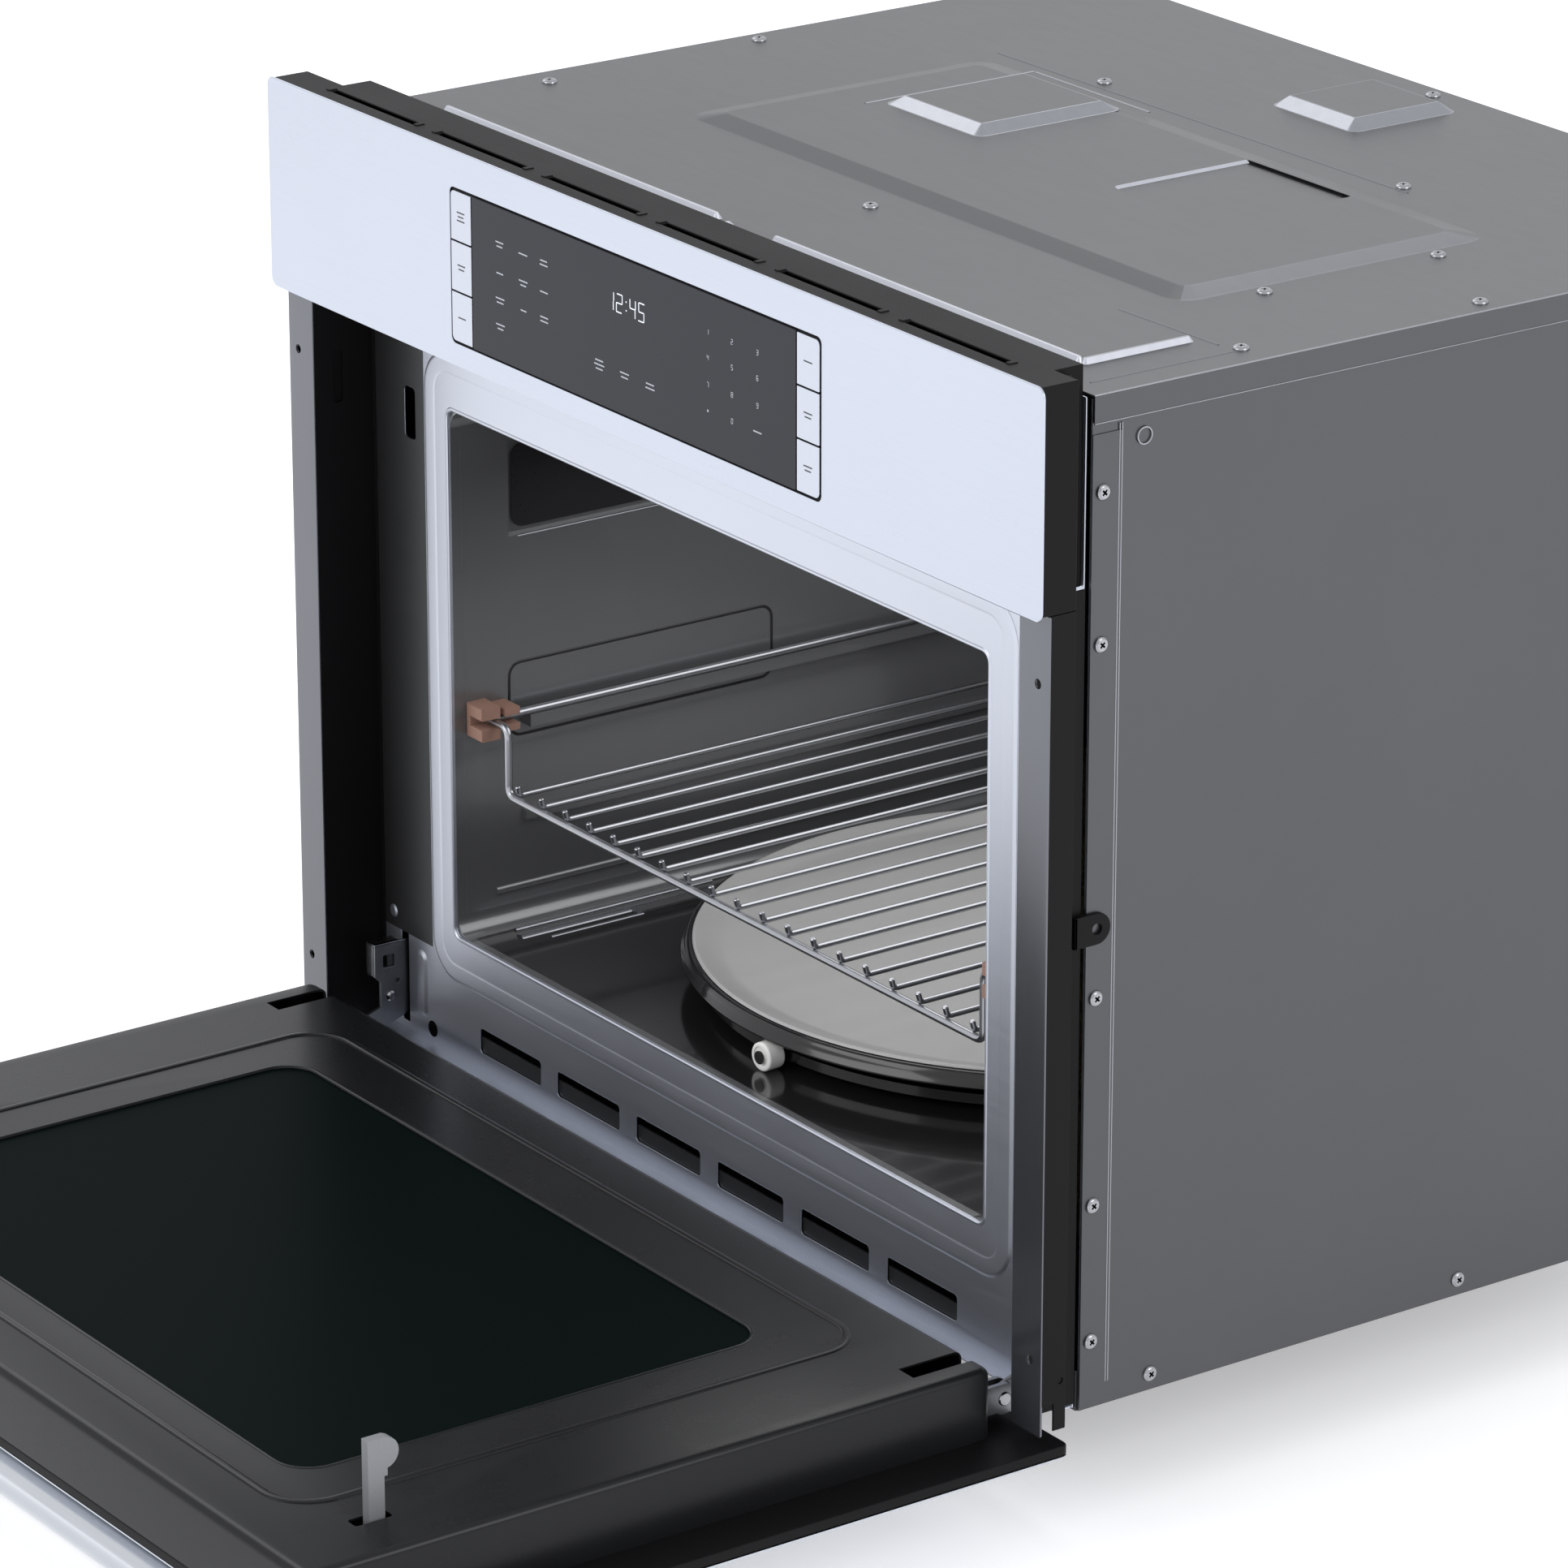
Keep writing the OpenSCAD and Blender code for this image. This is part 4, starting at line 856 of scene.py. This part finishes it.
def build_panel():
    lo, hi = corners("control_fascia")
    glass_lo, glass_hi = corners("display_glass")
    key_lo, key_hi = corners("touch_keys_right")
    front = lo.y
    mid_z = (lo.z + hi.z) / 2
    glass_z = (glass_lo.z + glass_hi.z) / 2
    fascia = Shape()
    hole = rounded(2 * key_hi.x + 2.4, glass_hi.z - glass_lo.z + 2.4, 4, 0, glass_z)
    fascia.plate(rounded(hi.x - lo.x, hi.z - lo.z, 6, 0, mid_z), [hole], front, hi.y, upright, 0.45)
    fascia.plate(rounded(hi.x - lo.x - 8, hi.z - lo.z - 6, 5, 0, mid_z),
                 [rounded(2 * key_hi.x, 88, 4, 0, glass_z)], hi.y - 0.05, hi.y + 0.08, upright, 0.02, mark=1)
    piece("fascia_plate", fascia, "case", ["fascia_brushed", "housing_black"],
          ["control_fascia"])

    glass = Shape()
    glass.plate(rounded(glass_hi.x - glass_lo.x, glass_hi.z - glass_lo.z, 1, 0, glass_z), [], glass_lo.y,
                glass_hi.y, upright, 0.35)
    piece("display_window", glass, "case", ["display_black"], ["display_glass"])

    marks = Shape()
    y1 = glass_lo.y + 0.02
    y0 = glass_lo.y - 0.05
    for x, char in zip((-18, -9.6, 3.4, 12), "1245"):
        digit(marks, char, x, glass_z + 18.5, 5.4, 10.4, 0.7, y0, y1, mark=1)
    for z in (glass_z + 16, glass_z + 21):
        marks.plate(circle(0.5, -2.8, z, 12), [], y0, y1, upright, 0.01, mark=1)

    def label(x, z, widths, pitch=2.5):
        """Short bars one under another, in place of words."""
        for k, w in enumerate(widths):
            bar_z = z + (len(widths) - 1) * pitch / 2 - k * pitch
            marks.plate(rounded(w, 0.8, 0.3, x, bar_z, n=2), [], y0, y1, upright, 0.01)

    rows = (glass_z + 23.5, glass_z + 6.5, glass_z - 9.5)
    lines = {0: ((8, 6), (9,), (7, 8)), 1: ((7,), (9, 6), (8,)), 2: ((9, 7), (6,), (8, 8))}
    for r, z in enumerate(rows):
        for x, widths in zip((-130, -106, -85), lines[r]):
            label(x, z, widths)
    label(-130, glass_z - 25, (9, 6))
    for x, widths in zip((-30, -5, 20), ((8, 10, 7), (9, 7), (8, 9))):
        label(x, glass_z - 22, widths)
    pad_rows = (glass_z + 23.5, glass_z + 9, glass_z - 6.5, glass_z - 21.5)
    for z, chars in zip(pad_rows, ("123", "456", "789")):
        for x, char in zip((76, 99, 123), chars):
            digit(marks, char, x, z, 1.5, 2.8, 0.4, y0, y1)
    digit(marks, "0", 99, pad_rows[3], 1.5, 2.8, 0.4, y0, y1)
    label(123, pad_rows[3], (8,))
    marks.plate(circle(0.8, 76, pad_rows[3], 12), [], y0, y1, upright, 0.01)
    piece("display_marks", marks, "case", ["print_light", "print_clock"], angle=60,
          weighted=False)

    key_h = (glass_hi.z - glass_lo.z) / 3
    w = key_hi.x - key_lo.x
    cx = (key_hi.x + key_lo.x) / 2
    # round corner of the top, middle and bottom key, and the number of bars printed on each
    for side, node, round_corners, counts in ((1, "touch_keys_right", (2, None, 1), (1, 2, 2)),
                                              (-1, "touch_keys_left", (3, None, 0), (3, 2, 1))):
        keys = Shape()
        for i in range(3):
            z = glass_z + (1 - i) * key_h
            radii = [0.6] * 4
            if round_corners[i] is not None:
                radii[round_corners[i]] = 3.4
            keys.plate(rounded(w - 0.5, key_h - 0.9, radii, side * cx, z), [], key_lo.y, key_hi.y, upright,
                       0.4)
            for k in range(counts[i]):
                bar_z = z + (counts[i] - 1) * 1.2 - k * 2.4
                keys.plate(rounded(8 - 2 * (k % 2), 0.85, 0.35, side * cx, bar_z, n=2), [],
                           key_lo.y - 0.04, key_lo.y + 0.05, upright, 0.01, mark=1)
        piece(node + "_faces", keys, "case", ["key_face", "print_dark"], [node])

    softened("panel_housing_moulding", "panel_housing", "case", "housing_black", 0.7)
    clips = Shape()
    back = corners("side_trim_right")[0].y + 17.1
    for s in (-1, 1):
        for z in (490, 545, 588):
            clips.box((s * 346, back + 1, z - 5), (s * 350.5, back + 14, z + 5), 0.8)
            clips.box((s * 350, back - 1, z - 3.4), (s * 353, back + 9, z + 3.4), 0.8)
    for i in range(6):
        x = (i - 2.5) * 113.3
        for s in (-1, 1):
            clips.box((x + s * 45, front + 12, 598), (x + s * 49, front + 18, 599.9), 0.6)
    piece("panel_housing_clips", clips, "case", ["housing_black"])


# ------------------------------------------------------------------ cavity, rack, turntable

def build_cavity():
    half, floor, back, front = CAVITY_W / 2, CAVITY_FLOOR, CAVITY_BACK, FACE_Y + 0.1
    top = floor + CAVITY_H
    detail = Shape()
    arc = [math.pi / 2 * k / 6 for k in range(1, 6)]

    def fillet(corner, u, v, along, length, r=12):
        """Concave corner strip; u and v point into the oven from the two walls that meet."""
        corner, u, v, along = Vector(corner), Vector(u), Vector(v), Vector(along)
        section = [(-0.3, -0.3), (r, -0.3), (r, 0.06)]
        section += [(r - r * math.sin(t), r - r * math.cos(t)) for t in arc]
        section += [(0.06, r), (-0.3, r)]
        rings = [[corner + u * a + v * b + along * d for a, b in section] for d in (0, length)]
        detail.skin(rings)

    for s in (-1, 1):
        fillet((s * half, front, floor), (-s, 0, 0), (0, 0, 1), (0, 1, 0), back - front)
        fillet((s * half, front, top), (-s, 0, 0), (0, 0, -1), (0, 1, 0), back - front)
        fillet((s * half, back, floor), (-s, 0, 0), (0, -1, 0), (0, 0, 1), top - floor)
    fillet((-half, back, floor), (0, 0, 1), (0, -1, 0), (1, 0, 0), 2 * half, r=2.4)
    fillet((-half, back, top), (0, 0, -1), (0, -1, 0), (1, 0, 0), 2 * half)
    # pressed lines on the side walls, the back wall and the floor
    for s in (-1, 1):
        # pressed line on the side wall, darker as painted shade in its crease
        wall = [(s * (half - 0.1), y, z) for y, z in rounded(192, 46, 8, -133, 224)]
        detail.sweep(wall, 0.9, 0.5, closed=True, up=(1, 0, 0), mark=1)
        # backing of the recess high on the wall, darker as painted shade, and its lower lip, lighter as a
        # painted highlight
        x = half + 2.4
        near_x, far_x = sorted((s * x, s * (x + 0.3)))
        detail.plate(rounded(110, 52, 8, -169, 357), [], near_x, far_x, sideways, 0.05, mark=1)
        detail.sweep([(s * (half - 0.1), y, 326.4) for y in (-222, -118)], 0.9, 0.7, up=(1, 0, 0), mark=2)
        detail.sweep([(s * (half - 0.1), y, 104) for y in (-240, 180)], 2.4, 1.6, up=(1, 0, 0))
    bead = [(x, back - 0.1, z) for x, z in rounded(470, 270, 22, 0, 250)]
    detail.sweep(bead, 2.6, 1.4, closed=True, up=(0, 1, 0))
    # darker, glossier plate on the cavity floor: painted shade and reflection of the dish's dark underside
    detail.plate(rounded(2 * half - 6, back - front - 10, 8, 0, (back + front) / 2), [circle(9, 0, -19, 32)],
                 floor - 0.1, floor + 0.15, level, 0.05, mark=3)
    # strips pressed into the floor beside the walls, bright as painted highlights
    for s in (-1, 1):
        detail.sweep([(s * 241, y, floor + 0.2) for y in (-240, -118)], 3.6, 1.4, mark=2)
        detail.sweep([(s * 252, y, floor + 0.4) for y in (-236, -92)], 1.6, 1.2, mark=2)
        detail.sweep([(s * 231, y, floor + 0.1) for y in (-224, -157)], 1.2, 0.7, mark=2)
    piece("cavity_corners", detail, "case", ["cavity_enamel", "cavity_crease_shade", "case_edge_highlight", "cavity_floor_shade"])


def build_rack():
    deck, rail_z = 176.0, 218.7
    front, back = -249.0, 194.0
    half, rail_x = 237.0, 257.0
    wires = Shape()

    def bend(points, r, n=6):
        """Polyline in space with its corners rounded to radius r."""
        pts = [Vector(p) for p in points]
        out = [pts[0]]
        for a, p, b in zip(pts, pts[1:], pts[2:]):
            u, v = (a - p).normalized(), (b - p).normalized()
            d = min(r, (a - p).length / 2, (b - p).length / 2)
            for k in range(n + 1):
                t = k / n
                out.append(p + u * d * (1 - t) ** 2 + v * d * t ** 2)
        return out + [pts[-1]]

    # two bent cross wires that hang from the side rails
    for y in (front, back):
        drop = [(half, deck), (half, rail_z), (rail_x, rail_z)]
        path = [(-x, y, z) for x, z in drop[::-1]] + [(x, y, z) for x, z in drop]
        wires.tube(bend(path, 7), 2.45, 14)
    for s in (-1, 1):
        wires.tube([(s * rail_x, y, rail_z) for y in (front - 2.4, -100, 60, back + 2.4)], 2.5, 14)
    count = 19
    for i in range(count):
        x = (i - (count - 1) / 2) * (2 * half - 20) / (count - 1)
        path = [(x, back + 1, deck + 3.2), (x, front + 1.2, deck + 3.2), (x, front - 0.4, deck + 9.2)]
        wires.tube(bend(path, 2.4, 4), 1.7, 10)
    piece("oven_rack", wires, "rack", ["chrome_wire"], ["wire_rack"], weighted=False)

    block_lo, block_hi = corners("rack_insulators")
    blocks = Shape()
    inner, wall = 249.0, block_hi.x

    def clip(low, high):
        """C-shaped outline open towards the middle of the oven, round the rail."""
        return [(wall, low), (wall, high), (inner, high), (inner, rail_z + 2.8), (wall - 4, rail_z + 2.8),
                (wall - 4, rail_z - 2.8), (inner, rail_z - 2.8), (inner, low)]

    for y in (block_lo.y, block_hi.y - 28):
        blocks.plate(clip(rail_z - 10.5, rail_z + 10.5), [], y, y + 14, upright, 1.0)
        blocks.plate(clip(rail_z - 7, rail_z + 7.5), [], y + 16.5, y + 28, upright, 1.0)
        blocks.box((wall - 3, y + 5, rail_z - 6), (wall, y + 24, rail_z + 6), 0.4)
    piece("rack_blocks", blocks.mirrored(), "case", ["terracotta"], ["rack_insulators"])


def build_turntable():
    lo, hi = corners("metal_dish")
    centre = Vector(((lo.x + hi.x) / 2, (lo.y + hi.y) / 2, lo.z))
    rim = hi.x
    dish = Shape()
    lip = [(2.4, 0), (0.6, 0.4), (0, 1.2), (0.3, 2.2), (1.6, 3.6), (2.6, 6), (3.6, 8.4), (4.6, 9.3), (6, 9.6),
           (7.2, 9.3), (8, 8.4), (8.6, 4), (10, 1.4)]
    dish.lathe([(0, 0)] + [(rim - d, z) for d, z in lip] + [(0, 1.4)], centre, n=160)
    piece("turntable_dish", dish, "turntable", ["dish_enamel"], ["metal_dish"], angle=60)
    t_lo, t_hi = corners("ceramic_tray")
    r = t_hi.x
    centre.z = t_lo.z
    tray = Shape()
    lip = [(16, 0), (12, 1), (1, 7.4), (0, 8.6), (0.6, 9.7), (1.8, 9.9), (6, 8.2), (15, 5.4), (20, 4.7)]
    tray.lathe([(0, 0)] + [(r - d, z) for d, z in lip] + [(0, 4.6)], centre, n=144)
    piece("turntable_tray", tray, "turntable", ["tray_ceramic"], ["ceramic_tray"], angle=60)
    for node, body, angle in (("roller_front", "roller_a", -86), ("roller_right", "roller_b", 34),
                              ("roller_left", "roller_c", 154)):
        a = math.radians(angle)
        axis = Vector((math.cos(a), math.sin(a), 0))
        at = Vector((centre.x, centre.y, 91.0))
        wheel = Shape()
        wheel.lathe([(2.1, 213.1), (7.9, 213.1), (8.6, 213.8), (8.7, 214.6), (8.7, 223.4), (8.6, 224.2),
                     (7.9, 224.9), (6.4, 224.9), (6.2, 224.2), (3.6, 224.2), (3.4, 224.9), (2.1, 224.9)],
                    at, axis, 48, round_trip=True)
        piece(node + "_wheel", wheel, body, ["roller_white"], [node], angle=50)


# ------------------------------------------------------------------ door

def build_door():
    lo, hi = corners("door_liner")
    panel_lo, panel_hi = corners("door_outer_panel")
    skin_lo, skin_hi = corners("door_skin")
    half = hi.x
    near, far = hi.y, lo.y
    w, length = 2 * half, near - far
    mid = (near + far) / 2
    top = hi.z - 1
    glass_mid, glass_len = -548.5, 301.0
    liner = Shape()
    bottom = lo.z
    r, turn_r = 7, 5

    def pan_ring(d, z, least):
        return [(x, y, z) for x, y in rounded(w - 2 * d, length - 2 * d, max(r - d, least), 0, mid)]

    # outside and inside of the pan, both turning over to the flat field
    turn = [math.pi / 2 * k / 5 for k in range(1, 6)]
    walls = [(0, bottom), (0, bottom + 1), (0, top - turn_r)]
    walls += [(turn_r - turn_r * math.cos(t), top - turn_r + turn_r * math.sin(t)) for t in turn]
    outer = [pan_ring(d, z, 1.5) for d, z in walls]
    inner = [pan_ring(d, z, 1) for d, z in ((1.2, bottom), (1.2, top - 6), (2.2, top - 2.4), (6, top - 1.2))]
    n = len(outer[0])
    verts = [p for ring in outer + inner for p in ring]
    faces = []
    for k in range(len(outer) + len(inner) - 1):
        if k != len(outer) - 1:
            faces += band(k * n, (k + 1) * n, n)
    faces += band(0, len(outer) * n, n)
    # flat field with its openings, closed between the two faces
    holes = [rounded(484, glass_len, 22, 0, glass_mid)]
    for s in (-1, 1):
        holes.append(rounded(9, 23, 2, s * HOOK_X, HOOK_Y - 2.5))
    hole_start = {}
    for key, z in (("up", top), ("down", top - 1.2)):
        hole_start[key] = []
        for h in holes:
            hole_start[key].append(len(verts))
            verts += [(x, y, z) for x, y in h]
    for up, down, h in zip(hole_start["up"], hole_start["down"], holes):
        faces += band(up, down, len(h))
    for key, ring, first in (("up", outer[-1], (len(outer) - 1) * n),
                             ("down", inner[-1], (len(outer) + len(inner) - 1) * n)):
        ids = [first + i for i in range(n)]
        for start, h in zip(hole_start[key], holes):
            ids += [start + i for i in range(len(h))]
        polys = [flat_vectors(loop) for loop in [ring] + holes]
        faces += [[ids[i] for i in t] for t in tessellate_polygon(polys)]
    liner.add(verts, faces)
    # notches that let the hinge arms in
    for s in (-1, 1):
        liner.cut((s * HINGE_X - 7, near - 42.5, bottom - 1), (s * HINGE_X + 7, near + 1, top + 1))
    # bead round the window and rolled rim of the window opening
    ring = [(x, y, top + 0.1) for x, y in rounded(555, 368, 28, 0, -540.5, n=10)]
    liner.sweep(ring, 2.5, 0.95, closed=True)
    rim = [(x, y, top - 0.9) for x, y in rounded(485, glass_len + 1, 22, 0, glass_mid, n=10)]
    liner.sweep(rim, 1.6, 1.4, closed=True)
    # pivots of the latch hooks, each between two ears
    for s in (-1, 1):
        liner.lathe([(2.5, -9), (2.5, 9)], (s * HOOK_X, HOOK_Y, HOOK_Z), (1, 0, 0), 20)
        for x in (HOOK_X - 11, HOOK_X + 9):
            liner.box((s * x, HOOK_Y - 6, 16), (s * (x + 2), HOOK_Y + 6, top - 1), 0.3)
    piece("door_liner_pan", liner, "door", ["liner_enamel"], ["door_liner"], weighted=False)

    glass = Shape()
    g_lo, g_hi = corners("door_inner_glass")
    glass.plate(rounded(g_hi.x - g_lo.x, g_hi.y - g_lo.y, 20, 0, glass_mid), [], g_lo.z, g_hi.z, level, 0.6)
    piece("door_inner_pane", glass, "door", ["door_glass"], ["door_inner_glass"])

    panel = Shape()
    cy = (panel_lo.y + panel_hi.y) / 2
    panel.plate(rounded(panel_hi.x - panel_lo.x, panel_hi.y - panel_lo.y, 5, 0, cy),
                [rounded(474, 261, 3, 0, glass_mid)], panel_lo.z, panel_hi.z, level, 1.2, steps=3)
    piece("door_outer_frame", panel, "door", ["trim_black"], ["door_outer_panel"])
    face = Shape()
    cy = (skin_lo.y + skin_hi.y) / 2
    face.plate(rounded(skin_hi.x - skin_lo.x, skin_hi.y - skin_lo.y, 5.5, 0, cy),
               [rounded(460, 247, 12, 0, glass_mid)], skin_lo.z, skin_hi.z, level, 0.4)
    piece("door_front_skin", face, "door", ["skin_brushed"], ["door_skin"])

    bar_lo, bar_hi = corners("handle_bar")
    centre = (bar_lo + bar_hi) / 2
    r = (bar_hi.z - bar_lo.z) / 2
    bar = Shape()
    ends = bar_hi.x
    profile = [(0, -ends), (r - 2.5, -ends), (r - 0.8, -ends + 0.7), (r, -ends + 2.5)]
    profile += [(r, x) for x in (-200, 0, 200)] + [(a, -b) for a, b in profile[::-1]]
    bar.lathe(profile, (0, centre.y, centre.z), (1, 0, 0), 64)
    piece("handle_tube", bar, "door", ["handle_steel"], ["handle_bar"], angle=50)
    post_lo, post_hi = corners("handle_posts")
    posts = Shape()
    for s in (-1, 1):
        at = (s * 284, centre.y, 0)
        foot = post_hi.z
        posts.lathe([(6.9, post_lo.z), (6.9, foot - 9), (7.6, foot - 7), (10.4, foot - 5), (11, foot - 4),
                     (11, foot), (0, foot)], at, n=40)
    piece("handle_stems", posts, "door", ["handle_steel"], ["handle_posts"], angle=50)
    for side in ("left", "right"):
        softened(f"latch_hook_{side}_arm", f"latch_hook_{side}", f"hook_{side}", "hook_grey",
                 0.9)


# ------------------------------------------------------------------ pieces kept from the CAD model

CARRIED = {
    "case_sheet": ["base_pan", "side_panel_left", "side_panel_right", "rear_panel"],
    "cavity_enamel": ["cavity_liner"],
    "board_green": ["control_board"],
    "blanket_wool": ["insulation_blanket"],
    "zinc": ["component_deck", "waveguide", "magnetron", "high_voltage_capacitor", "blower_housing",
             "fan_compartment", "convection_fan", "turntable_motor", "hinge_receivers", "terminal_cover",
             "hinge_channels"],
    "heater_sheath": ["grill_element", "high_voltage_transformer", "blower_motor", "ring_heater",
                      "convection_motor"],
    "mica_sheet": ["waveguide_cover"],
    "plastic_white": ["blower_wheel", "lamp_holder"],
    "roller_white": ["turntable_coupler"],
    "dish_enamel": ["roller_ring"],
    "lens_glass": ["lamp_lens"],
    # latch housings near black: painted shade seen through their slots
    "hole_shade_black": ["latch_housings"],
    "screen_mesh": ["microwave_screen"],
    "door_glass": ["door_outer_glass"],
}


def dress_cad():
    """Give each kept CAD piece its finish."""
    for name, nodes in CARRIED.items():
        for node in nodes:
            obj = NODES[node]
            if not obj.material_slots:
                obj.data.materials.append(None)
            for s in obj.material_slots:
                s.material = MATERIALS[name]


def build_stage():
    """Plain pale floor, just under the lowest point of the oven."""
    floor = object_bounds()[0][2] - 0.0005
    mesh = bpy.data.meshes.new("floor")
    size = 14
    mesh.from_pydata([(x, y, floor) for x, y in rectangle(2 * size, 2 * size)], [], [[0, 1, 2, 3]])
    mesh.materials.append(finish("floor_paper", (246, 246, 247), rough=0.85, tone=0.004, smudge=0.004,
                                 bump=0.0, glow=0.35))
    obj = bpy.data.objects.new("floor", mesh)
    scene.collection.objects.link(obj)


scene.view_settings.view_transform = "Standard"
add_camera()
add_world(1.0)
# name, place, target, size and power of the lights
add_area("key_softbox", (-0.6, -4.2, 2.6), (0, -0.2, 0.2), (3.0, 1.8), 45)
add_area("left_softbox", (-3.6, -0.1, 3.2), (0, 0, 0.4), (2.2, 2.2), 24)
add_area("back_softbox", (-2.6, 2.5, 3.0), (0, 0, 0.4), (1.4, 1.4), 6)
add_area("right_softbox", (4.2, 1.2, 2.6), (0.6, 0.2, 0.0), (2.4, 2.0), 60)
add_area("cavity_lamp", (0, -0.03, 0.372), (0, -0.03, 0), (0.42, 0.34), 1.0)
make_materials()
dress_cad()
build_top_cover()
build_case_screws()
build_face_frame()
build_side_lines()
build_hinge_brackets()
build_trims()
build_panel()
build_cavity()
build_rack()
build_turntable()
build_door()
build_stage()
